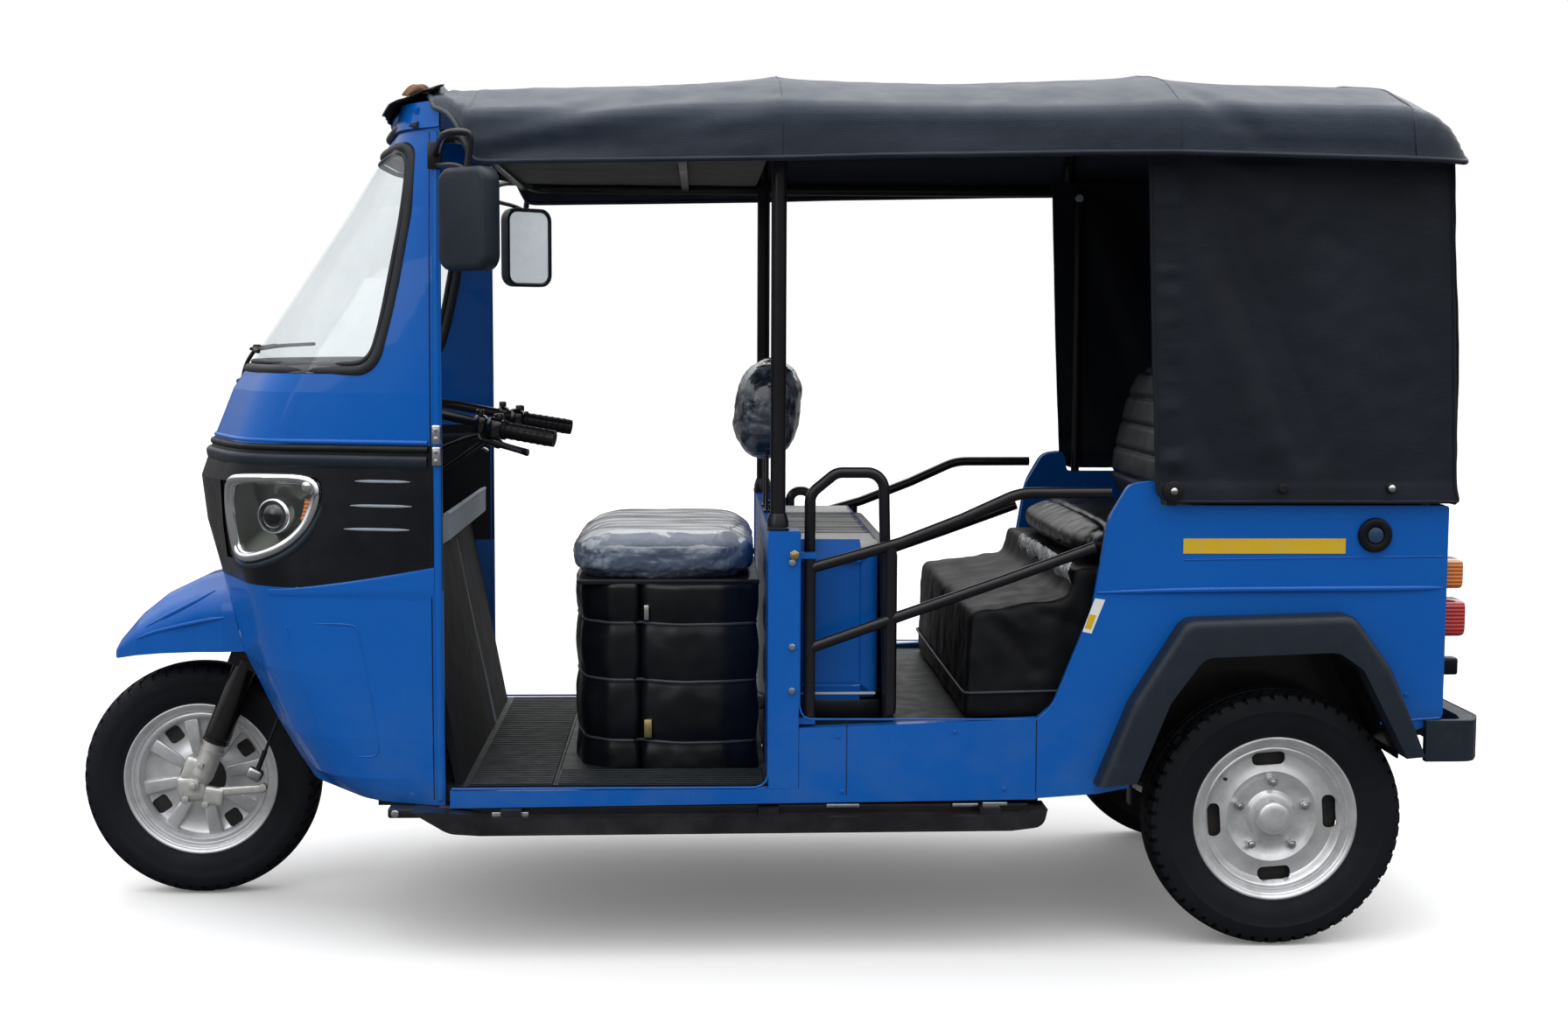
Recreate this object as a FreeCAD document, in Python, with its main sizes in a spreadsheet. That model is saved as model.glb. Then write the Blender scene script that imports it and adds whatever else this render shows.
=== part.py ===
import FreeCAD, Part
import math
import os
import re
from types import SimpleNamespace
from FreeCAD import Placement, Rotation, Vector

# Auto rickshaw, an open three-wheeled passenger cab. Millimetres, +Z up.
# +X points to the rear, +Y to the vehicle's right side. All outlines are written from the
# front axle (x = 0) and the ground (z = 0); every sub-part is then moved forward by
# frame_shift, so that the finished vehicle is centred on x = 0.

doc = FreeCAD.newDocument("AutoRickshaw")
sheet = doc.addObject("Spreadsheet::Sheet", "Dims")

# alias, value, what it is
sizeTable = [
    ("wheelbase", 2245, "front axle to rear axle"),
    ("front_tyre_r", 255, "front tyre radius"),
    ("front_tyre_w", 98, "front tyre width"),
    ("rear_tyre_r", 260, "rear tyre radius"),
    ("rear_tyre_w", 112, "rear tyre width"),
    ("rim_r", 167.5, "rim flange radius"),
    ("rim_wall", 5, "rim sheet"),
    ("rim_seat_drop", 12, "flange height over the bead seat"),
    ("front_rim_w", 74, "front rim width over the flanges"),
    ("rear_rim_w", 88, "rear rim width over the flanges"),
    ("wheel_inset", 85, "rear wheel centre inside the body side"),
    ("front_axle_r", 8, "front spindle radius"),
    ("front_hub_r", 42, "front hub radius"),
    ("rear_stub_r", 15, "rear stub axle radius"),
    ("rear_hub_r", 48, "rear hub radius"),
    ("bearing_gap", 0.3, "running clearance at pins and stubs"),
    ("seat_gap", 0.3, "gap where soft or curved pieces rest"),
    ("rear_overhang", 406, "rear axle to bumper face"),
    ("rake_deg", 22, "steering axis leans back from upright"),
    ("axis_setback", 35, "steering axis behind the spindle, at spindle height"),
    ("fork_half_w", 82, "centre line to fork leg centre"),
    ("fork_leg_r", 19, "slider radius"),
    ("fork_cover_r", 24, "cover tube radius"),
    ("fork_cover_start", 110, "spindle to the cover tubes' lower end, along the leg"),
    ("crown_start", 290, "spindle to the crown's underside, along the leg"),
    ("crown_t", 34, "crown thickness"),
    ("stem_r", 15, "stem radius"),
    ("stem_top", 862, "spindle to the stem's top, along the axis"),
    ("head_tube_r", 29, "head tube outer radius"),
    ("head_tube_low", 352, "spindle to the head tube's lower end, along the axis"),
    ("head_tube_len", 130, "head tube length"),
    ("bar_r", 11, "handlebar tube radius"),
    ("grip_r", 17, "grip radius"),
    ("body_half_w", 515, "centre line to the body side"),
    ("door_inset", 18, "front shell's rear edge inside the body side"),
    ("cab_rear_x", 588, "front shell's rear edge"),
    ("cab_wall", 12, "front shell wall"),
    ("cab_floor_z", 336, "cab floor top"),
    ("floor_t", 14, "floor thickness"),
    ("sill_bottom_z", 300, "sill underside"),
    ("sill_t", 24, "sill thickness across"),
    ("rear_floor_z", 458, "passenger floor top"),
    ("well_half_w", 205, "front wheel well half width"),
    ("well_wall", 6, "front wheel well sheet"),
    ("well_top_z", 628, "front wheel well roof"),
    ("lower_top_z", 727, "lower shell top edge"),
    ("fascia_top_z", 1008, "fascia top edge"),
    ("cowl_top_z", 1621, "upper shell top edge"),
    ("cap_top_z", 1672, "roof cap top"),
    ("shell_gap", 0.5, "joint between cab shells"),
    ("glass_t", 5, "windscreen thickness"),
    ("glass_gap", 1, "glass edge to the shell opening"),
    ("pillar_x", 1227, "B pillar front face at the side"),
    ("pillar_depth", 55, "B pillar side face, front to rear"),
    ("bulkhead_ahead", 4, "bulkhead front face ahead of the pillar's side face"),
    ("bulkhead_t", 26, "bulkhead thickness"),
    ("bulkhead_top_z", 845, "bulkhead top"),
    ("seam_ahead", 492, "sill to quarter panel seam, ahead of the rear axle"),
    ("panel_t", 24, "quarter panel thickness"),
    ("panel_top_z", 896, "quarter panel top edge"),
    ("tail_back", 320, "tail panel rear face behind the rear axle"),
    ("tail_t", 20, "tail panel thickness"),
    ("plate_hole_r", 3.3, "number plate screw hole radius"),
    ("plate_spacing", 200, "between the number plate's screw holes"),
    ("plate_z", 600, "number plate screw height"),
    ("flare_out", 52, "how far the flares stand out from the body side"),
    ("flare_wall", 9, "flare wall"),
    ("bumper_out", 20, "bumper end outside the body side"),
    ("bumper_t", 40, "bumper thickness"),
    ("bumper_low_z", 388, "bumper underside"),
    ("bumper_high_z", 470, "bumper top"),
    ("canopy_out", 85, "canopy edge outside the body side"),
    ("canopy_t", 9, "canopy cloth and lining"),
    ("canopy_top_z", 1774, "canopy top over the highest bow"),
    ("curtain_out", 12, "curtain outer face outside the body side"),
    ("curtain_t", 6, "curtain cloth"),
    ("curtain_low_z", 899, "side curtain hem"),
    ("curtain_high_z", 1564, "side curtain top"),
    ("frame_tube_r", 13, "roof frame tube radius"),
    ("post_inset", 39, "B post centre inside the body side"),
    ("post_r", 15, "B post radius"),
    ("rail_gap", 10, "roof rail to the canopy's skirt at its widest"),
    ("rail_z", 1580, "roof rail height"),
    ("gate_back", 22, "gate hinge axis behind the pillar"),
    ("gate_inset", 19, "gate centre inside the body side"),
    ("gate_low_z", 475.5, "gate hinge tube lower end"),
    ("gate_high_z", 789.5, "gate hinge tube upper end"),
    ("gate_tube_r", 11, "gate tube radius"),
    ("gate_pin_r", 5, "gate hinge pin radius"),
    ("cover_len", 399, "driver pedestal length"),
    ("cover_gap", 4, "driver pedestal to bulkhead"),
    ("cover_half_w", 330, "driver pedestal half width"),
    ("cover_top_z", 722, "driver pedestal top"),
    ("cover_wall", 14, "driver pedestal wall"),
    ("cushion_high_z", 842, "driver cushion top"),
    ("engine_x", 1006, "engine block centre"),
    ("engine_len", 290, "engine block length"),
    ("engine_w", 360, "engine block width"),
    ("engine_high_z", 600, "engine block top"),
    ("box_inset", 85, "luggage box end inside the body side"),
    ("box_len", 236.5, "luggage box length"),
    ("box_top_z", 818, "luggage box top"),
    ("bench_inset", 65, "bench end inside the body side"),
    ("bench_ahead", 422, "bench cushion front ahead of the rear axle"),
    ("bench_depth", 367, "bench cushion front to rear"),
    ("bench_low_z", 766, "bench cushion underside"),
    ("bench_high_z", 842, "bench cushion top"),
    ("seat_box_ahead", 208, "seat box front ahead of the cushion"),
    ("back_top_z", 1178, "bench back top"),
    ("step_low_z", 252, "running board underside"),
    ("step_t", 34, "running board height"),
    ("step_out", 30, "running board outer edge outside the body side"),
    ("step_w", 76, "running board width"),
    ("rail_half_w", 300, "centre line to the chassis rails"),
    ("rail_w", 46, "chassis rail width"),
    ("rail_low_z", 262, "chassis rail underside"),
    ("rail_t", 60, "chassis rail height"),
    ("kick_low_z", 390, "chassis rail underside over the rear axle"),
    ("arm_top_z", 740, "top of the arm that holds the head tube"),
    ("kick_ahead", 501, "where the rails rise, ahead of the rear axle"),
    ("spring_y", 300, "centre line to the leaf springs"),
    ("spring_w", 50, "leaf width"),
    ("leaf_t", 8, "leaf thickness"),
    ("shaft_r", 26, "propeller shaft radius"),
    ("axle_tube_r", 32, "rear axle tube radius"),
    ("mirror_out", 107, "mirror centre outside the body side"),
]
aliases = set()
for row, (alias, value, note) in enumerate(sizeTable, start=1):
    sheet.set("A%d" % row, note)
    sheet.set("B%d" % row, str(value))
    sheet.setAlias("B%d" % row, alias)
    aliases.add(alias)
doc.recompute()
d = SimpleNamespace(**{alias: float(sheet.get(alias)) for alias in aliases})

# places that follow from the sizes above
derivedTable = [
    ("half_track", "body_half_w - wheel_inset"),
    ("door_half_w", "body_half_w - door_inset"),
    ("pillar_rear_x", "pillar_x + pillar_depth"),
    ("bulkhead_x", "pillar_x - bulkhead_ahead"),
    ("door_seam_x", "wheelbase - seam_ahead"),
    ("tail_x", "wheelbase + tail_back"),
    ("bumper_half_w", "body_half_w + bumper_out"),
    ("canopy_half_w", "body_half_w + canopy_out"),
    ("curtain_y", "body_half_w + curtain_out"),
    ("post_y", "body_half_w - post_inset"),
    ("rail_y", "canopy_half_w - canopy_t - frame_tube_r - rail_gap"),
    ("gate_x", "pillar_x + pillar_depth + gate_back"),
    ("gate_y", "body_half_w - gate_inset"),
    ("cover_high_x", "pillar_x - bulkhead_ahead - cover_gap"),
    ("cover_low_x", "pillar_x - bulkhead_ahead - cover_gap - cover_len"),
    ("box_half_w", "body_half_w - box_inset"),
    ("box_rear_x", "pillar_x - bulkhead_ahead + bulkhead_t + 0.5 + box_len"),
    ("bench_half_w", "body_half_w - bench_inset"),
    ("bench_front_x", "wheelbase - bench_ahead"),
    ("bench_rear_x", "wheelbase - bench_ahead + bench_depth"),
    ("seat_box_x", "wheelbase - bench_ahead - seat_box_ahead"),
    ("step_y", "body_half_w + step_out"),
    ("kick_x", "wheelbase - kick_ahead"),
    ("mirror_y", "body_half_w + mirror_out"),
    ("frame_shift", "(wheelbase + rear_overhang - front_tyre_r) / 2"),
]
derived = dict(derivedTable)


def expression(text):
    """Write a formula over the sheet's names as a FreeCAD expression."""
    def named(match):
        word = match.group(0)
        if word in derived:
            return "(%s)" % expression(derived[word])
        return "Dims." + word if word in aliases else word
    return re.sub(r"[a-z_][a-z0-9_]*", named, str(text))


for name, formula in derivedTable:
    setattr(d, name, float(sheet.evalExpression(expression(formula))))

subParts = []
solidNumber = [0]


# ---------------------------------------------------------------- helpers

def bind(obj, prop, text):
    obj.setExpression(prop, expression(text))


def freshName(stem):
    solidNumber[0] += 1
    return "%s%d" % (stem, solidNumber[0])


def subPart(obj, label):
    """Name a finished sub-part and move it into the centred frame."""
    own = {path.lstrip("."): text for path, text in obj.ExpressionEngine}
    ahead = own.get("Placement.Base.x", "0")
    obj.setExpression("Placement.Base.x", "(%s) - %s" % (ahead, expression("frame_shift")))
    obj.Label = label
    subParts.append(obj)
    return obj


def box(x, y, z):
    """A block between two formulas along each axis."""
    solid = doc.addObject("Part::Box", freshName("Block"))
    for prop, (low, high) in (("Length", x), ("Width", y), ("Height", z)):
        bind(solid, prop, "(%s) - (%s)" % (high, low))
    for axis, (low, _) in zip("xyz", (x, y, z)):
        bind(solid, "Placement.Base." + axis, low)
    return solid


def cylinder(radius, length, start, axis="z", lean=None):
    """A rod from start along an axis; lean turns an upright rod about Y."""
    turns = {"x": Rotation(Vector(0, 1, 0), 90), "y": Rotation(Vector(1, 0, 0), -90),
             "z": Rotation()}
    rod = doc.addObject("Part::Cylinder", freshName("Rod"))
    bind(rod, "Radius", radius)
    bind(rod, "Height", length)
    turn = turns[axis] if lean is None else Rotation(Vector(0, 1, 0), lean)
    rod.Placement = Placement(Vector(), turn)
    for word, text in zip("xyz", start):
        bind(rod, "Placement.Base." + word, text)
    return rod


def cut(base, *tools):
    for tool in tools:
        result = doc.addObject("Part::Cut", freshName("Cut"))
        result.Base = base
        result.Tool = tool
        base = result
    return base


def common(base, tool):
    result = doc.addObject("Part::Common", freshName("Common"))
    result.Base = base
    result.Tool = tool
    return result


def fuse(*pieces):
    result = doc.addObject("Part::MultiFuse", freshName("Joined"))
    result.Shapes = list(pieces)
    return result


def group(*pieces):
    """Pieces that don't touch, kept in one sub-part."""
    result = doc.addObject("Part::Compound", freshName("Set"))
    result.Links = list(pieces)
    return result


def mirrored(piece):
    """The same piece on the other side of the vehicle."""
    twin = doc.addObject("Part::Mirroring", freshName("Twin"))
    twin.Source = piece
    twin.Base = Vector(0, 0, 0)
    twin.Normal = Vector(0, 1, 0)
    return twin


def bothSides(piece):
    return group(piece, mirrored(piece))


def feature(shape):
    """A shape worked out in code from the sheet's sizes."""
    solid = doc.addObject("Part::Feature", freshName("Form"))
    solid.Shape = shape
    return solid


def roundedEdges(points, closed=True):
    """Straight runs joined by tangent arcs.

    points: (position, rounding); rounding is a radius, limited by the runs beside it.
    """
    count = len(points)
    inset = []
    for i, (corner, radius) in enumerate(points):
        if radius <= 0 or (not closed and i in (0, count - 1)):
            inset.append(None)
            continue
        before = points[i - 1][0] - corner
        after = points[(i + 1) % count][0] - corner
        turn = math.pi - before.getAngle(after)
        if turn < 1e-4:
            inset.append(None)
            continue
        reach = min(radius * math.tan(turn / 2), 0.48 * before.Length, 0.48 * after.Length)
        before.normalize()
        after.normalize()
        arcRadius = reach / math.tan(turn / 2)
        bisector = (before + after).normalize()
        middle = corner + bisector * (arcRadius / math.cos(turn / 2) - arcRadius)
        inset.append((corner + before * reach, middle, corner + after * reach))
    edges = []
    runs = count if closed else count - 1
    for i in range(runs):
        j = (i + 1) % count
        start = inset[i][2] if inset[i] else points[i][0]
        end = inset[j][0] if inset[j] else points[j][0]
        edges.append(Part.LineSegment(start, end))
        if inset[j]:
            edges.append(Part.Arc(*inset[j]))
    return edges


def outline2d(points):
    """points: (a, b) or (a, b, rounding) in the sketch plane."""
    return roundedEdges([(Vector(p[0], p[1], 0), p[2] if len(p) > 2 else 0) for p in points])


def planeOf(body, role):
    return next(plane for plane in body.Origin.OriginFeatures if plane.Role == role)


def sketch(body, role, points, offset="0"):
    """A closed outline on one of the body's own planes, offset along its normal."""
    drawn = body.newObject("Sketcher::SketchObject", freshName("Sketch"))
    drawn.AttachmentSupport = [(planeOf(body, role), "")]
    drawn.MapMode = "FlatFace"
    bind(drawn, "AttachmentOffset.Base.z", offset)
    drawn.addGeometry(outline2d(points), False)
    return drawn


def newBody():
    return doc.addObject("PartDesign::Body", freshName("Body"))


def sidePad(points, low, high):
    """An outline in x and z, padded across the vehicle from y = low to y = high."""
    body = newBody()
    pad = body.newObject("PartDesign::Pad", freshName("Pad"))
    pad.Profile = sketch(body, "XZ_Plane", points, "-(%s)" % high)
    bind(pad, "Length", "(%s) - (%s)" % (high, low))
    return body


def planPad(points, low, high):
    """An outline in x and y, padded upwards from z = low to z = high."""
    body = newBody()
    pad = body.newObject("PartDesign::Pad", freshName("Pad"))
    pad.Profile = sketch(body, "XY_Plane", points, low)
    bind(pad, "Length", "(%s) - (%s)" % (high, low))
    return body


def revolved(points):
    """A ring about the wheel's own axis: outline in radius and distance across."""
    body = newBody()
    ring = body.newObject("PartDesign::Revolution", freshName("Ring"))
    profile = sketch(body, "XY_Plane", points)
    ring.Profile = profile
    ring.ReferenceAxis = (profile, ["V_Axis"])
    ring.Angle = 360
    return body


def lofted(sections, role="XY_Plane", ruled=True):
    """A body through outlines at several distances along a plane's normal."""
    body = newBody()
    drawn = [sketch(body, role, points, repr(at)) for at, points in sections]
    loft = body.newObject("PartDesign::AdditiveLoft", freshName("Loft"))
    loft.Profile = drawn[0]
    loft.Sections = drawn[1:]
    loft.Ruled = ruled
    return body


def tube(route, radius, bend=0):
    """A round rod along straight runs joined by arcs of radius bend."""
    corners = [(Vector(*p), bend) for p in route]
    spine = feature(Part.Wire([edge.toShape() for edge in roundedEdges(corners, False)]))
    first = (corners[1][0] - corners[0][0]).normalize()
    ring = doc.addObject("Part::Circle", freshName("Ring"))
    bind(ring, "Radius", radius)
    ring.Placement = Placement(corners[0][0], Rotation(Vector(0, 0, 1), first))
    sweep = doc.addObject("Part::Sweep", freshName("Tube"))
    sweep.Sections = [ring]
    sweep.Spine = (spine, [])
    sweep.Solid = True
    sweep.Transition = "Right corner"
    return sweep


# ---------------------------------------------------------------- cab shells

# Plan sections of the cab's nose: z, front face x, front corner half width,
# side corner x, side corner half width, half width at the rear edge
drawnDoorHalfW = 497
noseTable = [
    (300, 262, 200, 436, 442, 494),
    (350, 240, 200, 345, 446, 495),
    (430, 196, 200, 292, 447, 497),
    (560, 128, 190, 250, 446, 497),
    (727, 78, 160, 214, 436, 497),
    (837, 46, 150, 182, 420, 497),
    (929, 34, 145, 168, 408, 497),
    (1008, 62, 140, 186, 404, 497),
    (1110, 104, 140, 226, 404, 496),
    (1200, 162, 138, 280, 404, 494),
    (1333, 252, 134, 362, 402, 490),
    (1473, 346, 128, 446, 398, 485),
    (1621, 440, 120, 502, 392, 478),
    (1672, 458, 116, 512, 386, 472),
]


def rowAt(table, at):
    """A table's row at a place, interpolated between its neighbours, without the first column."""
    low = max((row for row in table if row[0] <= at), default=table[0])
    high = min((row for row in table if row[0] >= at), default=table[-1])
    share = 0 if high[0] == low[0] else (at - low[0]) / (high[0] - low[0])
    return [a + (b - a) * share for a, b in zip(low[1:], high[1:])]


def noseHalfWidth(z):
    return rowAt(noseTable, z)[4] + d.door_half_w - drawnDoorHalfW


def noseSection(z, inset, rearExtra=0):
    """The nose outline at a height, moved inwards by inset."""
    front, frontW, side, sideW, rearW = rowAt(noseTable, z)
    rearW += d.door_half_w - drawnDoorHalfW
    sideW += d.door_half_w - drawnDoorHalfW
    half = [(d.cab_rear_x, rearW - inset, 0),
            (side + 0.9 * inset, sideW - 0.9 * inset, 170),
            (front + inset, frontW - 0.3 * inset, 260)]
    if rearExtra:
        half.insert(0, (d.cab_rear_x + rearExtra, rearW - inset, 0))
    left = [(x, -y, r) for x, y, r in half]
    right = [(x, y, r) for x, y, r in reversed(half)]
    return left + right


def noseSolid(lowZ, highZ, inset, rearExtra=0, lowExtra=0, highExtra=0):
    """The nose between two heights; the extras run it past both ends as a cutting tool."""
    levels = [lowZ] + [row[0] for row in noseTable if lowZ < row[0] < highZ] + [highZ]
    sections = []
    for z in levels:
        at = z - lowExtra if z == lowZ else z + highExtra if z == highZ else z
        sections.append((at, noseSection(z, inset, rearExtra)))
    return lofted(sections)


def noseShell(lowZ, highZ):
    outer = noseSolid(lowZ, highZ, 0)
    inner = noseSolid(lowZ, highZ, d.cab_wall, 20, 5, 5)
    return cut(outer, inner)


def lowerCabShell():
    """Blue lower shell, open at the front for the wheel and at the bottom."""
    shell = noseShell(d.sill_bottom_z, d.lower_top_z)
    opening = box(("-60", "420"), ("-well_half_w", "well_half_w"),
                  ("sill_bottom_z - 20", "well_top_z + 4"))
    return subPart(cut(shell, opening), "lower_cab_shell")


def wheelWell():
    """Sheet housing over the front wheel, open in front and below."""
    rearX = 404
    outer = sidePad([(110, d.sill_bottom_z + 2), (rearX, d.sill_bottom_z + 2),
                     (rearX, d.well_top_z, 60), (78, d.well_top_z)],
                    "-(well_half_w - seat_gap)", "well_half_w - seat_gap")
    inner = sidePad([(-40, d.sill_bottom_z - 20), (rearX - d.well_wall, d.sill_bottom_z - 20),
                     (rearX - d.well_wall, d.well_top_z - d.well_wall, 55),
                     (-40, d.well_top_z - d.well_wall)],
                    "-(well_half_w - seat_gap - well_wall)", "well_half_w - seat_gap - well_wall")
    ahead = noseSolid(d.sill_bottom_z - 10, d.well_top_z + 10, 0.3, 0)
    stemHole = cylinder("stem_r + 18", "200", ("axis_setback + 300 * sin(rake_deg)", "0",
                        "front_tyre_r + 300 * cos(rake_deg)"), lean=d.rake_deg)
    return subPart(cut(common(outer, ahead), inner, stemHole), "wheel_well")


def frontMudguard():
    """Fixed beak over the front wheel, a hollow hood open below and behind."""
    # x, half width, lower edge z, shoulder z, top z
    hoodTable = [
        (-180, 26, 522, 536, 544),
        (-165, 64, 526, 550, 566),
        (-116, 104, 538, 590, 622),
        (-58, 128, 546, 624, 668),
        (20, 150, 552, 655, 706),
        (84, 176, 556, 668, 722),
        (170, 196, 562, 676, 724),
    ]
    wall = 6

    def section(half, low, shoulder, top, inset):
        rise = top - inset
        pts = [(half - inset, low), (half - inset, shoulder - inset, 60),
               (0.42 * half, rise - 0.02 * half, 80)]
        return ([(y, z, r[0] if r else 0) for y, z, *r in pts]
                + [(-y, z, r[0] if r else 0) for y, z, *r in reversed(pts)])

    # sections lie on the YZ plane, whose sketch axes are y and z
    outer = lofted([(x, section(half, low, shoulder, top, 0))
                    for x, half, low, shoulder, top in hoodTable], "YZ_Plane")
    innerRows = []
    for x, half, low, shoulder, top in hoodTable[1:]:
        at = x + 8 if x < hoodTable[-1][0] else x + 12
        innerRows.append((at, section(half, low - 12, shoulder, top, wall + 2)))
    inner = lofted(innerRows, "YZ_Plane")
    nose = noseSolid(500, 760, -d.seat_gap, 0)
    return subPart(cut(cut(outer, inner), nose), "front_mudguard")


def fascia():
    """Dark panel that carries the headlamps."""
    shell = noseShell(d.lower_top_z + d.shell_gap, d.fascia_top_z)
    return subPart(cut(shell, headlampForm(1.0, 60)), "fascia")


def headlampForm(grow, reach):
    """Outline of both headlamps, cut from the nose where its corner turns."""
    pts = [(120, 930), (345, 946, 20), (350, 905, 40), (296, 818, 60), (232, 782, 50), (120, 768)]
    x0 = sum(p[0] for p in pts) / len(pts)
    z0 = sum(p[1] for p in pts) / len(pts)
    grown = [(x0 + (p[0] - x0) * grow, z0 + (p[1] - z0) * grow) + tuple(p[2:]) for p in pts]
    near = sidePad(grown, "-door_half_w - %s" % reach, "-250")
    return group(near, mirrored(near))


def headlamps():
    """D-shaped lamps that fill the fascia's openings."""
    outer = noseSolid(760, 950, 1)
    inner = noseSolid(760, 950, 60, 20, 5, 5)
    lens = common(cut(outer, inner), headlampForm(0.985, 0))
    return subPart(lens, "headlamps")


# windscreen opening in the side view: x, z, rounding
screenOutline = [(-40, 1146), (424, 1146, 34), (472, 1192, 60), (505, 1322, 200),
                 (530, 1460, 200), (537, 1598, 26), (380, 1598), (-40, 1598)]


def upperCabShell():
    """Blue cowl, door frames and screen surround."""
    shell = noseShell(d.fascia_top_z + d.shell_gap, d.cowl_top_z)
    opening = sidePad(screenOutline, "-door_half_w - 20", "door_half_w + 20")
    return subPart(cut(shell, opening), "upper_cab_shell")


def windshield():
    """Clear wrap-around screen in the upper shell's opening."""
    outer = noseSolid(1130, 1610, 3)
    inner = noseSolid(1130, 1610, 3 + d.glass_t, 20, 5, 5)
    gap = d.glass_gap
    outline = [(x - (gap if x > 0 else 0), z + (gap if z < 1300 else -gap)) + tuple(r)
               for x, z, *r in screenOutline]
    window = sidePad(outline, "-door_half_w - 20", "door_half_w + 20")
    return subPart(common(cut(outer, inner), window), "windshield")


def roofCap():
    """Blue lip over the windscreen, closed on top."""
    outer = noseSolid(d.cowl_top_z + d.shell_gap, d.cap_top_z, -7)
    inner = noseSolid(d.cowl_top_z + d.shell_gap, d.cap_top_z - 10, 14, 20, 5, 0)
    return subPart(cut(outer, inner), "roof_cap")


# ---------------------------------------------------------------- floor and frame

def chassisFrame():
    """Ladder frame with the head tube, its arm, cross members and outriggers."""
    parts = []
    railTop = "rail_low_z + rail_t"
    kickTop = "kick_low_z + rail_t"
    front = "cab_rear_x - 158"
    for side in (-1, 1):
        y = ("%d * rail_half_w - rail_w / 2" % side, "%d * rail_half_w + rail_w / 2" % side)
        parts.append(box((front, "kick_x + rail_w"), y, ("rail_low_z", railTop)))
        parts.append(box(("kick_x", "kick_x + rail_w"), y, ("rail_low_z", kickTop)))
        parts.append(box(("kick_x", "tail_x - tail_t - 2"), y, ("kick_low_z", kickTop)))
        parts.append(box((front, front + " + rail_w"), y, ("rail_low_z", "arm_top_z")))
    full = ("-rail_half_w - rail_w / 2", "rail_half_w + rail_w / 2")
    # front face, underside, top
    crossMembers = [(front, "arm_top_z - rail_w", "arm_top_z"),
                    ("cab_rear_x + 12", "rail_low_z", railTop),
                    ("engine_x - 126", "rail_low_z - 24", "rail_low_z"),
                    ("engine_x + 84", "rail_low_z - 24", "rail_low_z"),
                    ("wheelbase + 235", "kick_low_z", kickTop)]
    for low, bottom, top in crossMembers:
        parts.append(box((low, low + " + 40"), full, (bottom, top)))
    for low in ("cab_rear_x + 112", "bulkhead_x - 20", "door_seam_x - 113"):
        for side in (-1, 1):
            reach = sorted((side * d.rail_half_w, side * (d.step_y - 10)))
            ends = ["%d * rail_half_w" % side, "%d * (step_y - 10)" % side]
            across = ends if reach[0] == side * d.rail_half_w else ends[::-1]
            parts.append(box((low, low + " + 40"), across,
                             ("step_low_z + step_t", "sill_bottom_z")))
    arm = box(("axis_setback + (head_tube_low + head_tube_len / 2) * sin(rake_deg)",
               front + " + 10"), ("-30", "30"), ("arm_top_z - rail_w", "arm_top_z"))
    headTube = cylinder("head_tube_r", "head_tube_len",
                        ("axis_setback + head_tube_low * sin(rake_deg)", "0",
                         "front_tyre_r + head_tube_low * cos(rake_deg)"), lean=d.rake_deg)
    bore = cylinder("stem_r + bearing_gap", "head_tube_len + 200",
                    ("axis_setback + (head_tube_low - 60) * sin(rake_deg)", "0",
                     "front_tyre_r + (head_tube_low - 60) * cos(rake_deg)"), lean=d.rake_deg)
    frame = cut(fuse(*parts, arm, headTube), bore)
    return subPart(frame, "chassis_frame")


def floorPlate():
    """Cab floor, the step up behind the bulkhead and the passenger floor."""
    w = d.door_half_w
    front = d.cab_rear_x - 176
    half = [(front, w - 128), (d.cab_rear_x - 28, w - 48), (d.cab_rear_x + 2, w - 15),
            (d.bulkhead_x - 0.3, w - 13)]
    cabFloor = planPad(half + [(x, -y) for x, y in reversed(half)],
                       "cab_floor_z - floor_t", "cab_floor_z")
    rearFloor = box(("bulkhead_x + bulkhead_t", "tail_x - tail_t - 1"),
                    ("-body_half_w + panel_t + 1", "body_half_w - panel_t - 1"),
                    ("rear_floor_z - 8", "rear_floor_z"))
    wheelCut = box(("wheelbase - 345", "tail_x + 20"), ("rail_half_w + rail_w / 2 + 1", "body_half_w"),
                   ("rear_floor_z - 60", "rear_floor_z + 20"))
    pillarCut = box(("bulkhead_x", "pillar_rear_x + 0.5"), ("body_half_w - 80.5", "body_half_w"),
                    ("rear_floor_z - 60", "rear_floor_z + 20"))
    engineCut = box(("engine_x - engine_len / 2 - 6", "engine_x + engine_len / 2 + 6"),
                    ("-engine_w / 2 - 6", "engine_w / 2 + 6"),
                    ("cab_floor_z - 40", "cab_floor_z + 10"))
    riserCut = box(("cab_rear_x - 168", "cab_rear_x - 158 + rail_w + 0.5"),
                   ("rail_half_w - rail_w / 2 - 0.5", "rail_half_w + rail_w / 2 + 0.5"),
                   ("cab_floor_z - 40", "cab_floor_z + 10"))
    cabPart = cut(cabFloor, engineCut, riserCut, mirrored(riserCut))
    rearPart = cut(rearFloor, wheelCut, mirrored(wheelCut), pillarCut, mirrored(pillarCut))
    return subPart(group(cabPart, rearPart), "floor_plate")


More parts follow.
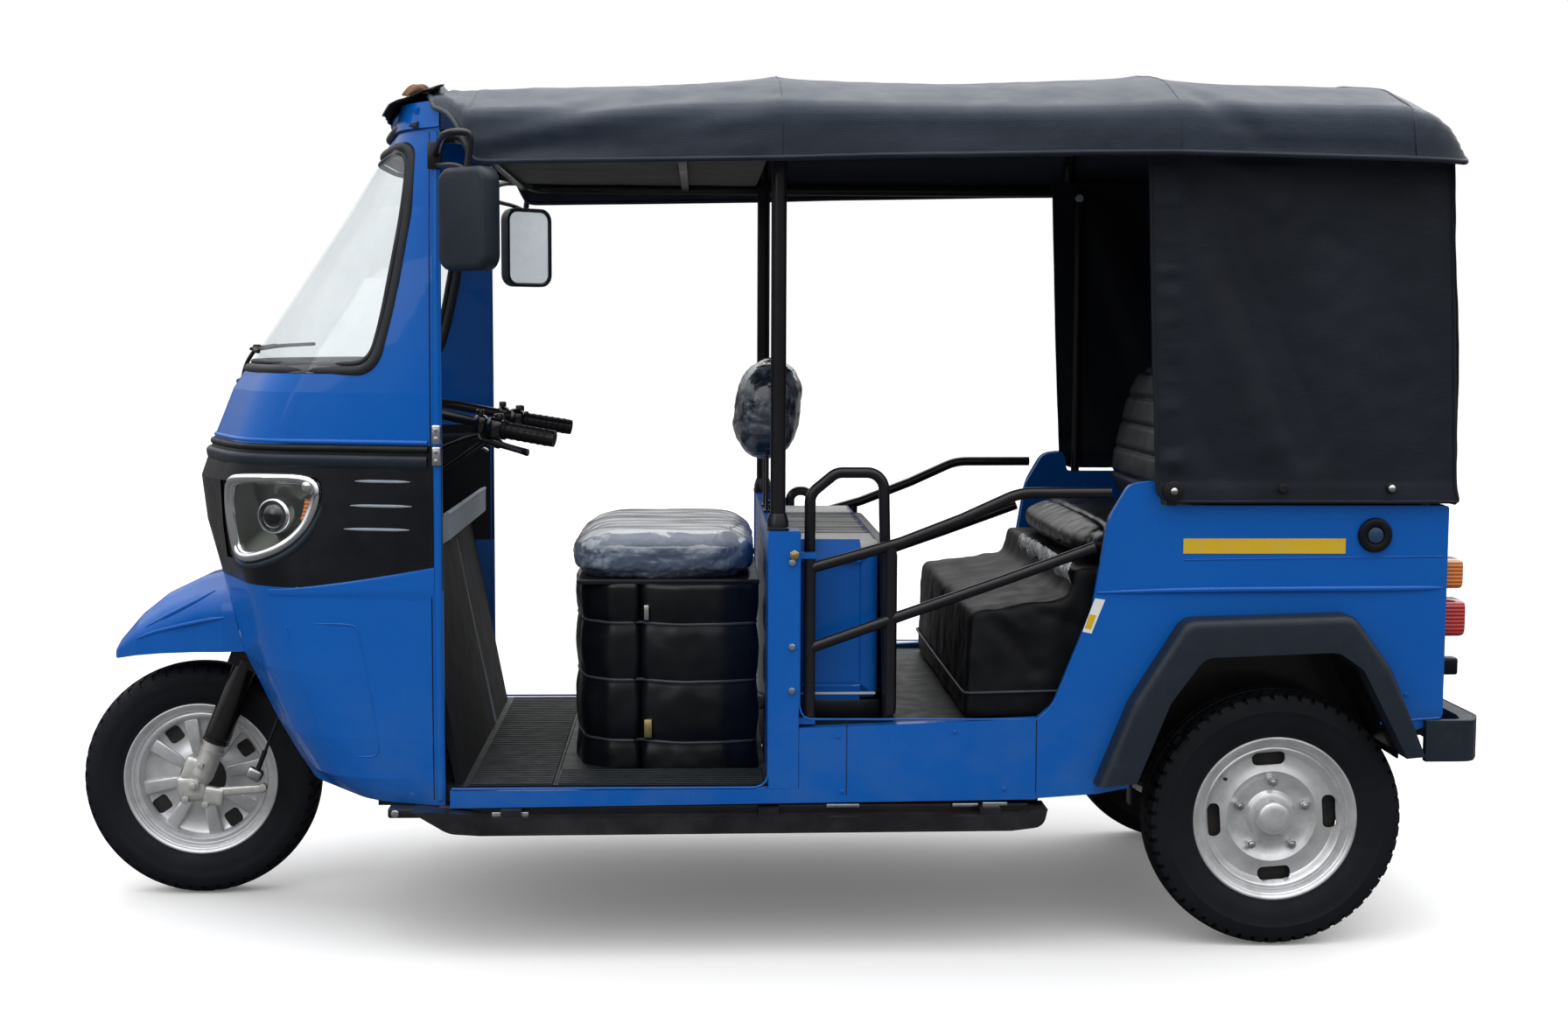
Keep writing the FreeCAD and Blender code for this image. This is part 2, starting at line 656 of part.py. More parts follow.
def bulkhead():
    """Wall behind the driver, with the two B pillars and the gates' hinge lugs."""
    wall = box(("bulkhead_x", "bulkhead_x + bulkhead_t"),
               ("-body_half_w + 20", "body_half_w - 20"), ("cab_floor_z", "bulkhead_top_z"))
    pillars = []
    for side in (-1, 1):
        y = ("body_half_w - 80", "body_half_w") if side > 0 else ("-body_half_w", "-body_half_w + 80")
        pillars.append(box(("bulkhead_x", "pillar_rear_x"), y, ("cab_floor_z", "bulkhead_top_z")))
        for z, pinDown in (("gate_low_z - 7.5", "0"), ("gate_high_z + 6.5", "28")):
            pillars.append(box(("pillar_rear_x - 4", "gate_x + gate_tube_r"),
                               ("%d * gate_y - 8" % side, "%d * gate_y + 8" % side),
                               (z + " - 6", z + " + 6")))
            pillars.append(cylinder("gate_pin_r", "28",
                                    ("gate_x", "%d * gate_y" % side, z + " - " + pinDown)))
    return subPart(fuse(wall, *pillars), "bulkhead")


def sideSills():
    """Blue sills under both doorways."""
    outline = [(600, d.sill_bottom_z), (d.door_seam_x, d.sill_bottom_z + 12),
               (d.door_seam_x, d.rear_floor_z + 16), (d.pillar_rear_x + 1, d.rear_floor_z - 2),
               (d.pillar_rear_x + 1, d.cab_floor_z - 0.3), (600, d.cab_floor_z - 2)]
    return subPart(bothSides(sidePad(outline, "-body_half_w", "-body_half_w + sill_t")), "side_sills")


def archOutline(out):
    """Rear wheel opening in the side view, grown by out all round."""
    x = d.wheelbase
    return [(x - 305 - out, 280), (x - 305 - out, 346), (x - 238 - out, 513, 60),
            (x - 172 - 0.5 * out, 602 + out, 40), (x + 92 + 0.4 * out, 612 + out, 40),
            (x + 142 + 0.75 * out, 577 + 0.1 * out, 40), (x + 232 + 0.5 * out, 404),
            (x + 232 + 0.5 * out, 280)]


def quarterPanels():
    """Rear side panels, cut round the wheels, their front edge swept up beside the bench."""
    r = d.wheelbase
    top = d.panel_top_z
    outline = [(d.door_seam_x + 0.5, d.sill_bottom_z + 14), (r - 373, d.sill_bottom_z + 22),
               (r + 225, 430), (d.tail_x, 470, 20), (d.tail_x, top, 6),
               (r - 255, top, 10), (r - 263, top + 48, 16), (r - 315, top + 42, 30),
               (r - 355, top - 27, 40), (r - 384, 690, 40), (r - 459, d.rear_floor_z + 42, 40),
               (d.door_seam_x + 0.5, d.rear_floor_z + 14)]
    blank = sidePad(outline, "-body_half_w", "-body_half_w + panel_t")
    opening = sidePad(archOutline(0), "-body_half_w - 5", "-body_half_w + panel_t + 5")
    return subPart(bothSides(cut(blank, opening)), "quarter_panels")


def wheelArches():
    """Inner sheet over each rear wheel, from the panel to the chassis rail."""
    outer = sidePad(archOutline(8), "-body_half_w + panel_t + 0.5", "-rail_half_w - rail_w / 2 - 2")
    inner = sidePad(archOutline(0), "-body_half_w + panel_t - 5", "-rail_half_w - rail_w / 2 - 12")
    below = box(("wheelbase - 500", "wheelbase + 500"), ("-body_half_w", "-rail_half_w"),
                ("200", "kick_low_z"))
    return subPart(bothSides(cut(outer, inner, below)), "wheel_arches")


def fenderFlares():
    """Dark plastic flares round the rear wheel openings."""
    outer = sidePad(archOutline(74)[1:-1], "-body_half_w - flare_out", "-body_half_w - 0.3")
    opening = sidePad(archOutline(0), "-body_half_w - flare_out - 5", "-body_half_w + 5")
    hollow = sidePad(archOutline(74 - d.flare_wall), "-body_half_w - flare_out + flare_wall",
                     "-body_half_w + 5")
    keep = sidePad(archOutline(d.flare_wall), "-body_half_w - flare_out - 5", "-body_half_w + 5")
    channel = cut(hollow, keep)
    return subPart(bothSides(cut(outer, opening, channel)), "fender_flares")


def tailPanel():
    """Blue rear wall between the quarter panels."""
    wall = box(("tail_x - tail_t", "tail_x - 0.5"),
               ("-body_half_w + panel_t + 0.5", "body_half_w - panel_t - 0.5"),
               ("rear_floor_z - 8", "panel_top_z"))
    holes = [cylinder("plate_hole_r", "tail_t + 20", ("tail_x - tail_t - 10",
             "%d * plate_spacing / 2" % side, "plate_z"), "x") for side in (-1, 1)]
    return subPart(cut(wall, *holes), "tail_panel")


def rearBumper():
    """Black bumper that wraps round both rear corners, on two brackets."""
    rear = d.wheelbase + d.rear_overhang
    side = d.bumper_half_w
    t = d.bumper_t
    end = d.tail_x - 39
    outline = [(end, -side), (rear - 30, -side, 40), (rear, -side + 60, 60),
               (rear, side - 60, 60), (rear - 30, side, 40), (end, side), (end, side - 18),
               (rear - 30 - t / 2, side - 18, 20), (rear - t, side - 66, 30),
               (rear - t, -side + 66, 30), (rear - 30 - t / 2, -side + 18, 20),
               (end, -side + 18)]
    beam = planPad(outline, "bumper_low_z", "bumper_high_z")
    brackets = [box(("tail_x - tail_t - 1.7", "wheelbase + rear_overhang - bumper_t + 1"),
                    ("%d * rail_half_w - 18" % side_, "%d * rail_half_w + 18" % side_),
                    ("kick_low_z + 8", "kick_low_z + 48")) for side_ in (-1, 1)]
    return subPart(fuse(beam, *brackets), "rear_bumper")


def tailLamps():
    """Amber indicator over a red lamp on each side."""
    lamps = []
    for low, high, depth in ((630, 705, 52), (727, 787, 44)):
        lamps.append(box(("tail_x + 0.3", "tail_x + %d" % depth), ("-body_half_w + 22",
                     "-body_half_w + 98"), (str(low), str(high))))
    return subPart(group(*lamps, *[mirrored(lamp) for lamp in lamps]), "tail_lamps")


# ---------------------------------------------------------------- inside the cab

def toeBoard():
    """Slanted board in front of the driver's feet."""
    x, low = d.cab_rear_x, d.cab_floor_z + 0.3
    outline = [(x - 68, 770), (x - 52, 770), (x + 32, low), (x + 16, low)]
    return subPart(sidePad(outline, "-door_half_w + cab_wall + 24", "door_half_w - cab_wall - 24"),
                   "toe_board")


def dashTray():
    """Grey parcel tray under the handlebar, on the toe board's top edge."""
    x = d.cab_rear_x
    outline = [(x - 102, 770.3), (x - 56, 770.3), (x - 56, 788), (x - 6, 810), (x - 6, 860),
               (x - 16, 864), (x - 18, 820), (x - 68, 798), (x - 102, 798)]
    return subPart(sidePad(outline, "-350", "350"), "dash_tray")


def engineCover():
    """Driver's pedestal, two rounded lobes with a hollow inside."""
    middle = (d.cover_low_x + d.cover_high_x) / 2 - 38
    w = d.cover_half_w

    def lobes(inset):
        low, high, half = d.cover_low_x + inset, d.cover_high_x - inset, w - inset
        pts = [(low, -half + 40, 40), (low + 30, -half, 50), (middle - 16, -half, 40),
               (middle, -half + 26, 12), (middle + 16, -half, 40), (high - 30, -half, 50),
               (high, -half + 40, 40)]
        return pts + [(x, -y, r) for x, y, r in reversed(pts)]

    outer = planPad(lobes(0), "cab_floor_z + seat_gap", "cover_top_z")
    inner = planPad(lobes(d.cover_wall), "cab_floor_z - 10", "cover_top_z - cover_wall")
    return subPart(cut(outer, inner), "engine_cover")


def engineBlock():
    block = box(("engine_x - engine_len / 2", "engine_x + engine_len / 2"),
                ("-engine_w / 2", "engine_w / 2"), ("rail_low_z + seat_gap", "engine_high_z"))
    return subPart(block, "engine_block")


def driverCushion():
    outline = [(d.cover_low_x - 10, d.cover_top_z + 0.3, 20), (d.cover_high_x, d.cover_top_z + 0.3, 20),
               (d.cover_high_x, d.cushion_high_z - 6, 30), (d.cover_low_x + 40, d.cushion_high_z, 50),
               (d.cover_low_x - 14, d.cushion_high_z - 50, 40)]
    return subPart(sidePad(outline, "-cover_half_w - 12", "cover_half_w + 12"), "driver_cushion")


def driverBackrest():
    """Pad on two flat brackets that stand on the bulkhead."""
    x, top = d.bulkhead_x, d.bulkhead_top_z
    pad = [(x - 62, top + 117, 30), (x + 38, top + 105, 30), (x + 88, top + 305, 40),
           (x + 58, top + 335, 30), (x - 26, top + 331, 40), (x - 66, top + 235, 60)]
    cushion = sidePad(pad, "-160", "160")
    brackets = [sidePad([(x + 4, top + 0.3), (x + 22, top + 0.3), (x + 34, top + 175),
                         (x + 16, top + 175)], str(y), str(y + 30)) for y in (-90, 60)]
    return subPart(fuse(cushion, *brackets), "driver_backrest")


# ---------------------------------------------------------------- passenger space

def luggageBox():
    outline = [(d.bulkhead_x + d.bulkhead_t + 0.5, d.rear_floor_z + 0.3),
               (d.box_rear_x, d.rear_floor_z + 0.3), (d.box_rear_x, d.box_top_z, 10),
               (d.bulkhead_x + d.bulkhead_t + 0.5, d.box_top_z + 4)]
    block = sidePad(outline, "-box_half_w", "box_half_w")
    pillar = box(("bulkhead_x", "pillar_rear_x + 1"), ("-body_half_w", "-body_half_w + 86"),
                 ("cab_floor_z", "bulkhead_top_z + 20"))
    return subPart(cut(block, pillar, mirrored(pillar)), "luggage_box")


def grabRail():
    """A tall arch and a low one over the luggage box's ends, standing on the floor."""
    y = -d.box_half_w - 14
    x, low, top = d.pillar_rear_x + 24, d.rear_floor_z + 0.3, d.bulkhead_top_z + 110
    arch = tube([(x, y, low), (x, y, top - 43), (x + 52, y, top), (x + 146, y, top),
                 (x + 158, y, low)], "gate_tube_r", 34)
    lowArch = tube([(x, -y, low), (x, -y, top - 105), (x + 52, -y, top - 105), (x + 52, -y, low)],
                    "gate_tube_r", 24)
    return subPart(group(arch, lowArch), "grab_rails")


def seatBox():
    """Dark housing under the bench, its front lower and sloped."""
    outline = [(d.seat_box_x, d.rear_floor_z + 0.3), (d.bench_rear_x + 20, d.rear_floor_z + 0.3),
               (d.bench_rear_x + 20, d.bench_low_z - 0.3), (d.bench_front_x + 10, d.bench_low_z - 0.3, 8),
               (d.bench_front_x, 706, 10), (d.seat_box_x + 10, 680, 26)]
    block = sidePad(outline, "-bench_half_w", "bench_half_w")
    arch = box(("wheelbase - 315", "tail_x"), ("rail_half_w + 20", "bench_half_w + 20"),
               ("rear_floor_z - 20", "654"))
    return subPart(cut(block, arch, mirrored(arch)), "seat_box")


def benchCushion():
    outline = [(d.bench_front_x, d.bench_low_z, 20), (d.bench_rear_x, d.bench_low_z, 6),
               (d.bench_rear_x, d.bench_high_z, 6), (d.bench_front_x, d.bench_high_z, 34)]
    return subPart(sidePad(outline, "-bench_half_w", "bench_half_w"), "bench_cushion")


def benchBack():
    low = d.bench_high_z + 0.5
    x = d.bench_rear_x
    outline = [(x - 150, low, 20), (x - 4, low, 20), (x + 60, d.back_top_z - 20, 30),
               (x + 10, d.back_top_z, 30), (x - 60, d.back_top_z - 10, 40)]
    return subPart(sidePad(outline, "-bench_half_w + 4", "bench_half_w - 4"), "bench_back")


def backFrame():
    """Upright frame that carries the bench back from the seat box."""
    low = d.bench_rear_x + 20.3
    top = d.back_top_z - 30
    legs = [sidePad([(low, 700), (low + 18, 700), (low + 59.7, top), (low + 40.7, top)],
                    str(y), str(y + 30)) for y in (-330, 300)]
    return subPart(group(*legs), "back_frame")


# ---------------------------------------------------------------- roof

# canopy sections: x, edge half width, edge z, corner half width, corner z, top z
drawnTopZ = 1774
drawnEdgeHalfW = 600
canopyTable = [
    (d.cab_rear_x - 106, 440, 1662, 420, 1676, 1694),
    (d.cab_rear_x - 28, 520, 1640, 500, 1676, 1722),
    (d.cab_rear_x + 72, 597, 1548, 585, 1640, 1734),
    (d.pillar_x - 277, 600, 1552, 590, 1640, 1742),
    (d.pillar_x + 13, 600, 1557, 590, 1660, 1764),
    (d.wheelbase - 635, 600, 1567, 590, 1652, 1757),
    (d.wheelbase - 250, 600, 1573, 590, 1664, 1772),
    (d.wheelbase + 165, 598, 1566, 588, 1662, 1760),
    (d.wheelbase + 261, 588, 1563, 574, 1640, 1722),
    (d.wheelbase + 305, 562, 1562, 546, 1606, 1664),
]


def canopySection(edgeW, edgeZ, cornerW, cornerZ, topZ, inset):
    topZ += d.canopy_top_z - drawnTopZ
    cornerZ += d.canopy_top_z - drawnTopZ
    edgeW += d.canopy_half_w - drawnEdgeHalfW
    cornerW += d.canopy_half_w - drawnEdgeHalfW
    half = [(edgeW - inset, edgeZ - (20 if inset else 0)), (cornerW - inset, cornerZ - 0.6 * inset, 40),
            (0.72 * cornerW, cornerZ + 0.62 * (topZ - cornerZ) - inset, 140),
            (0.26 * cornerW, topZ - inset, 300)]
    mirror = [(-p[0],) + tuple(p[1:]) for p in reversed(half)]
    return half + mirror


def roofCanopy():
    """Cloth roof with its side skirts and the closed rear end."""
    outer = lofted([(row[0], canopySection(*row[1:], 0)) for row in canopyTable], "YZ_Plane")
    innerRows = [(row[0], canopySection(*row[1:], d.canopy_t)) for row in canopyTable]
    innerRows[0] = (innerRows[0][0] - 10, innerRows[0][1])
    innerRows[-1] = (innerRows[-1][0] - 9, innerRows[-1][1])
    inner = lofted(innerRows, "YZ_Plane")
    cap = noseSolid(d.cowl_top_z + d.shell_gap, d.cap_top_z, -8.8, 12, 0, 0.6)
    return subPart(cut(outer, inner, cap), "roof_canopy")


def roofRails():
    """Straight tubes along both sides of the roof."""
    front, z = d.cab_rear_x, d.rail_z + 24
    y = noseHalfWidth(z) - 7
    back = d.wheelbase + 195
    rail = tube([(front + 0.3, -y, z), (front + 32, -y, z), (front + 102, -d.rail_y, d.rail_z),
                 (back, -d.rail_y, d.rail_z), (back + 90, -d.rail_y + 34, d.rail_z)],
                "frame_tube_r", 60)
    return subPart(bothSides(rail), "roof_rails")


def roofBows():
    """Arched tubes that carry the canopy."""
    bows = []
    low = d.rail_z + d.frame_tube_r + 0.2
    for x in (d.cab_rear_x + 162, d.pillar_x + 13, d.wheelbase - 250, d.wheelbase + 165):
        inset = d.canopy_t + d.frame_tube_r + 4
        half = canopySection(*rowAt(canopyTable, x), inset)[1:4]
        side = [(x, d.rail_y, low, 0), (x, d.rail_y, low + 10, 0)]
        side += [(x, y - 2, z, bend) for y, z, bend in half]
        route = side + [(x, -y, z, bend) for x, y, z, bend in reversed(side)]
        bows.append(tube([point[:3] for point in route], "frame_tube_r", 60))
    return subPart(group(*bows), "roof_bows")


def roofPosts():
    """B posts on the pillars and rear corner posts on the quarter panels."""
    bPost = fuse(cylinder("post_r", "rail_z - bulkhead_top_z - 0.6",
                          ("pillar_x + 14", "-post_y", "bulkhead_top_z + 0.3")),
                 tube([(d.pillar_x + 14, -d.post_y, d.rail_z),
                       (d.pillar_x + 14, -d.rail_y + d.frame_tube_r + 0.2, d.rail_z)],
                      "frame_tube_r - 2"))
    posts = [bPost]
    # x, how far the rail has turned in there
    for x, turnedIn in ((d.wheelbase - 232, 0), (d.wheelbase + 271, 32.8)):
        y = -d.curtain_y + d.curtain_t + d.frame_tube_r - 2.5
        reach = -d.rail_y + turnedIn + d.frame_tube_r + 0.3
        posts.append(tube([(x, y, d.panel_top_z + 0.3), (x, y, d.rail_z), (x, reach, d.rail_z)],
                          "frame_tube_r - 3", 20))
    return subPart(group(*posts, *[mirrored(post) for post in posts]), "roof_posts")


def sideCurtains():
    """Cloth sides behind the doorways, their top edges under the roof rails."""
    r = d.wheelbase
    outline = [(r - 292, d.curtain_high_z), (r - 264, d.curtain_low_z), (r + 329, d.curtain_low_z + 6),
               (r + 293, d.curtain_high_z)]
    cloth = sidePad(outline, "-curtain_y", "-curtain_y + curtain_t")
    return subPart(bothSides(cloth), "side_curtains")


def rearCurtain():
    high = canopyTable[-1][0] - d.canopy_t - d.seat_gap
    low = d.tail_x + 5
    outline = [(low, d.curtain_low_z), (low + d.curtain_t, d.curtain_low_z),
               (high, d.curtain_high_z - 10), (high - d.curtain_t, d.curtain_high_z - 10)]
    return subPart(sidePad(outline, "-curtain_y + curtain_t + 0.3", "curtain_y - curtain_t - 0.3"),
                   "rear_curtain")


def mirrors():
    """Large mirrors on arms from the cab's upper corners."""
    turn = -50
    housing = doc.addObject("Part::Box", freshName("Housing"))
    housing.Length, housing.Width, housing.Height = 42, 124, 178
    shell = doc.addObject("Part::Fillet", freshName("Fillet"))
    shell.Base = housing
    doc.recompute()
    shell.Edges = [(i + 1, 14, 14) for i in range(len(housing.Shape.Edges))]
    housing.Placement = Placement(Vector(0, 0, 0), Rotation())
    shell.Placement = Placement(Vector(), Rotation(Vector(0, 0, 1), -turn))
    # the housing's middle goes to the mirror's place
    middle = Rotation(Vector(0, 0, 1), -turn).multVec(Vector(21, 62, 89))
    bind(shell, "Placement.Base.x", "cab_rear_x + 80 - %s" % middle.x)
    bind(shell, "Placement.Base.y", "-mirror_y - 4 - (%s)" % middle.y)
    bind(shell, "Placement.Base.z", "1443 - %s" % middle.z)
    y = -d.mirror_y
    root = noseHalfWidth(1566) + 1.1
    arm = tube([(d.cab_rear_x - 8, -root, 1566), (d.cab_rear_x + 14, y - 4, 1592),
                (d.cab_rear_x + 80, y - 4, 1592), (d.cab_rear_x + 80, y - 4, 1520)], "frame_tube_r - 6", 14)
    return subPart(bothSides(fuse(shell, arm)), "mirrors")


# ---------------------------------------------------------------- underside

def runningBoards():
    """Steps under both doorways, their ends turned up."""
    low, t = d.step_low_z, d.step_t
    front, back, top = d.cab_rear_x - 60, d.door_seam_x + 19, d.sill_bottom_z - 1
    outline = [(front, top), (front + 72, low + 4, 60), (front + 132, low, 80), (back - 72, low + 4, 60),
               (back - 8, low + 12, 30), (back, top), (back - 32, top), (back - 46, low + t, 30),
               (front + 152, low + t, 60), (front + 92, low + t + 10, 30), (front + 32, top)]
    return subPart(bothSides(sidePad(outline, "-step_y", "-step_y + step_w")), "running_boards")


def rearAxle():
    """Beam axle with the differential, brake plates and the wheels' stubs."""
    x = "wheelbase"
    tubePart = cylinder("axle_tube_r", "2 * (half_track - 62)", (x, "-(half_track - 62)", "rear_tyre_r"), "y")
    stub = cylinder("rear_stub_r", "2 * (half_track + 6)", (x, "-(half_track + 6)", "rear_tyre_r"), "y")
    plate = cylinder("100", "8", (x, "half_track - 70", "rear_tyre_r"), "y")
    case = doc.addObject("Part::Sphere", freshName("Case"))
    case.Radius = 92
    for word, text in zip("xyz", (x, "0", "rear_tyre_r")):
        bind(case, "Placement.Base." + word, text)
    nose = cylinder("44", "80", ("wheelbase - 140", "0", "rear_tyre_r"), "x")
    pads = [box(("wheelbase - 45", "wheelbase + 45"), ("%d * spring_y - 27" % s, "%d * spring_y + 27" % s),
                ("rear_tyre_r", "rear_tyre_r + 46")) for s in (-1, 1)]
    return subPart(fuse(tubePart, stub, plate, mirrored(plate), case, nose, *pads), "rear_axle")


def leafSprings():
    """Leaf packs on the axle pads, hung from the rails at both ends."""
    z = d.rear_tyre_r + 46.3
    x = d.wheelbase
    eye = d.kick_low_z - 13.3
    main = [(x - 330, eye - 6, 6), (x - 300, eye, 8), (x - 150, z + 34, 60), (x, z + 27, 60),
            (x + 150, z + 34, 60), (x + 220, eye - 4, 8), (x + 224, eye + 12), (x + 206, eye + 13),
            (x + 140, z + 48, 40), (x, z + 40, 60), (x - 150, z + 48, 60), (x - 290, eye + 13, 8),
            (x - 330, eye + 13)]
    pack = [sidePad(main, "-spring_y - spring_w / 2", "-spring_y + spring_w / 2")]
    t = d.leaf_t
    for reach, low in ((120, z), (180, z + t + 1), (230, z + 2 * t + 2)):
        pack.append(sidePad([(x - reach, low + t + reach * 0.02), (x, low), (x + reach * 0.8, low + 6),
                             (x + reach * 0.8, low + t + 6), (x, low + t + 1.5),
                             (x - reach, low + 2 * t + 1)],
                            "-spring_y - spring_w / 2", "-spring_y + spring_w / 2"))
    return subPart(bothSides(fuse(*pack)), "leaf_springs")


def propellerShaft():
    front = Vector(d.engine_x + d.engine_len / 2, 0, d.rail_low_z + d.shaft_r)
    rear = Vector(d.wheelbase - 140, 0, d.rear_tyre_r + 6)
    along = (rear - front).normalize()
    ease = along * (d.shaft_r * abs(along.z) + d.seat_gap + 0.1)
    return subPart(tube([tuple(front + ease), tuple(rear - ease)], "shaft_r"), "propeller_shaft")


# ---------------------------------------------------------------- steering and wheels

def alongAxis(distance, ahead=0):
    """A point at a distance up the steering axis, as formulas; ahead is towards the front."""
    return ("axis_setback - %s + (%s) * sin(rake_deg)" % (ahead, distance), "0",
            "front_tyre_r + (%s) * cos(rake_deg)" % distance)


def fork():
    """Crown with the stem and the two cover tubes."""
    ahead = "28"
    crown = doc.addObject("Part::Box", freshName("Crown"))
    bind(crown, "Length", "96")
    bind(crown, "Width", "2 * (fork_half_w + fork_cover_r)")
    bind(crown, "Height", "crown_t")
    crown.Placement = Placement(Vector(), Rotation(Vector(0, 1, 0), d.rake_deg))
    x, _, z = alongAxis("crown_start", "66")
    bind(crown, "Placement.Base.x", x)
    bind(crown, "Placement.Base.y", "-fork_half_w - fork_cover_r")
    bind(crown, "Placement.Base.z", z)
    start = alongAxis("crown_start + 4")
    stem = cylinder("stem_r", "stem_top - crown_start - 4", start, lean=d.rake_deg)
    covers = []
    for side in (-1, 1):
        at = list(alongAxis("fork_cover_start", ahead))
        at[1] = "%d * fork_half_w" % side
        covers.append(cylinder("fork_cover_r", "crown_start - fork_cover_start + 2", at, lean=d.rake_deg))
    bores = []
    for side in (-1, 1):
        at = list(alongAxis("fork_cover_start - 5", ahead))
        at[1] = "%d * fork_half_w" % side
        bores.append(cylinder("fork_leg_r + bearing_gap", "60", at, lean=d.rake_deg))
    return subPart(cut(fuse(crown, stem, *covers), *bores), "fork")


def forkSliders():
    """Lower legs that hold the spindle, with the brake plate on the left."""
    legs = []
    for side in (-1, 1):
        at = list(alongAxis("-26", "28"))
        at[1] = "%d * fork_half_w" % side
        legs.append(cylinder("fork_leg_r", "fork_cover_start + 60", at, lean=d.rake_deg))
        legs.append(cylinder("26", "18", ("0", "%d * fork_half_w - 9" % side, "front_tyre_r"), "y"))
    spindle = cylinder("front_axle_r", "2 * fork_half_w + 44",
                       ("0", "-fork_half_w - 22", "front_tyre_r"), "y")
    return subPart(fuse(spindle, *legs), "fork_sliders")


def handlebar():
    """Swept-back bar clamped on the stem, with grips and levers."""
    top = d.stem_top + 0.3
    lean = math.radians(d.rake_deg)
    x0 = d.axis_setback + top * math.sin(lean)
    z0 = d.front_tyre_r + top * math.cos(lean)
    clamp = cylinder("26", "36", alongAxis("stem_top + 0.3"), lean=d.rake_deg)
    halves = []
    for side in (-1, 1):
        bar = tube([(x0 + 10, 0, z0 + 18), (x0 + 40, 110 * side, z0 + 26),
                    (x0 + 170, 200 * side, z0 + 10), (770, 266 * side, 1014)], "bar_r", 50)
        grip = tube([(676, 246 * side, 1030), (790, 268 * side, 1011)], "grip_r")
        lever = tube([(620, 226 * side, 1044), (640, 262 * side, 1008), (738, 288 * side, 982)],
                     "5", 10)
        halves += [bar, grip, lever]
    return subPart(fuse(clamp, *halves), "handlebar")


def wheelRim(width, hubR, boreR, disc, hubLow, hubHigh):
    """Rim barrel, disc and hub: disc is its distance across, positive towards +Y."""
    seat = d.rim_r - d.rim_seat_drop
    half = width / 2
    wall = d.rim_wall
    barrel = [(seat - wall, -half + 6, 4), (seat - wall, half - 6, 4), (d.rim_r - wall, half - 2, 3),
              (d.rim_r - 1, half, 2), (d.rim_r, half - 5, 2), (seat, half - 14, 4),
              (seat, -half + 14, 4), (d.rim_r, -half + 5, 2), (d.rim_r - 1, -half, 2),
              (d.rim_r - wall, -half + 2, 3)]
    web = [(hubR - 4, disc - 6), (hubR - 4, disc + 6),
           (0.62 * seat, disc + 18, 20), (seat - wall + 1, disc + 8),
           (seat - wall + 1, disc - 2), (0.62 * seat, disc + 8, 20)]
    hub = [(boreR, hubLow), (hubR, hubLow), (hubR, hubHigh), (boreR, hubHigh)]
    return fuse(revolved(barrel), revolved(web), revolved(hub))


def wheels():
    """Front wheel on its spindle and both rear wheels on their stubs."""
    # label, x, y, tyre radius, tyre width, rim width, hub radius, bore, disc place, hub ends
    front = ("front", "0", 0, d.front_tyre_r, d.front_tyre_w, d.front_rim_w, d.front_hub_r,
             d.front_axle_r, -10, -50, 50)
    rear = ("rear", "wheelbase", d.half_track, d.rear_tyre_r, d.rear_tyre_w, d.rear_rim_w,
            d.rear_hub_r, d.rear_stub_r, 0, -56, 8)
    for name, x, y, radius, width, rimW, hubR, boreR, disc, low, high in (front, rear):
        tyre = tyreBody(radius, width, rimW)
        rim = wheelRim(rimW, hubR, boreR + d.bearing_gap, disc, low, high)
        if name == "front":
            placeWheel(tyre, "front_tyre", x, "0", radius, 0)
            placeWheel(rim, "front_rim", x, "0", radius, 0)
            continue
        for label, side in (("rear_right", 1), ("rear_left", -1)):
            where = "%d * half_track" % side
            for piece, kind in ((tyre, "tyre"), (rim, "rim")):
                copy = doc.addObject("Part::Feature", freshName("Wheel"))
                doc.recompute()
                shape = piece.Shape.copy()
                if side < 0:
                    shape = shape.mirror(Vector(), Vector(0, 1, 0))
                copy.Shape = shape
                placeWheel(copy, label + "_" + kind, x, where, radius, 0)


def tyreBody(radius, width, rimW):
    """Tyre outline: bead inside the rim flanges, bulged side walls, slightly crowned tread."""
    seat = d.rim_r - d.rim_seat_drop
    half = width / 2 + 3
    rimHalf = rimW / 2
    shoulder = d.rim_r + 0.5 * (radius - d.rim_r)
    side = [(seat + 0.3, rimHalf - 15.5, 6), (d.rim_r + 3, rimHalf - 5.5, 3), (d.rim_r + 14, rimHalf + 2, 8),
            (shoulder, half, 34), (radius - 10, half - 12, 14), (radius, half - 28, 30)]
    return revolved([(r, -w, *bend) for r, w, *bend in side]
                    + [(r, w, *bend) for r, w, *bend in reversed(side)])


def placeWheel(piece, label, x, y, radius, turn):
    piece.Label = label
    bind(piece, "Placement.Base.x", "(%s) - frame_shift" % x)
    bind(piece, "Placement.Base.y", y)
    bind(piece, "Placement.Base.z", repr(radius))
    subParts.append(piece)


def gates():
    """Tube gates across both doorways, hinged on the B pillars."""
    y = -d.gate_y
    x = d.gate_x
    low, high = d.gate_low_z, d.gate_high_z
    hinge = tube([(x, y, low), (x, y, high)], "gate_tube_r")
    r = d.wheelbase
    upper = tube([(x, y, high - 19.5), (x + 178, y, 821), (x + 299, y, 868), (r - 530, y, 919),
                  (r - 349, y, 920)], "gate_tube_r", 120)
    lower = tube([(x, y, low + 136.5), (x + 179, y, 676), (r - 555, y, 748), (r - 379, y, 812)],
                 "gate_tube_r", 200)
    post = tube([(x + 159, y, d.rear_floor_z + 24), (x + 159, y, 812)], "gate_tube_r")
    bores = [cylinder("gate_pin_r + bearing_gap", "30", (str(x), "-gate_y", str(z)))
             for z in (low - 6, high - 24)]
    left = cut(fuse(hinge, upper, lower, post), *bores)
    right = mirrored(left)
    subPart(left, "left_gate")
    right.Label = "right_gate"
    subParts.append(right)


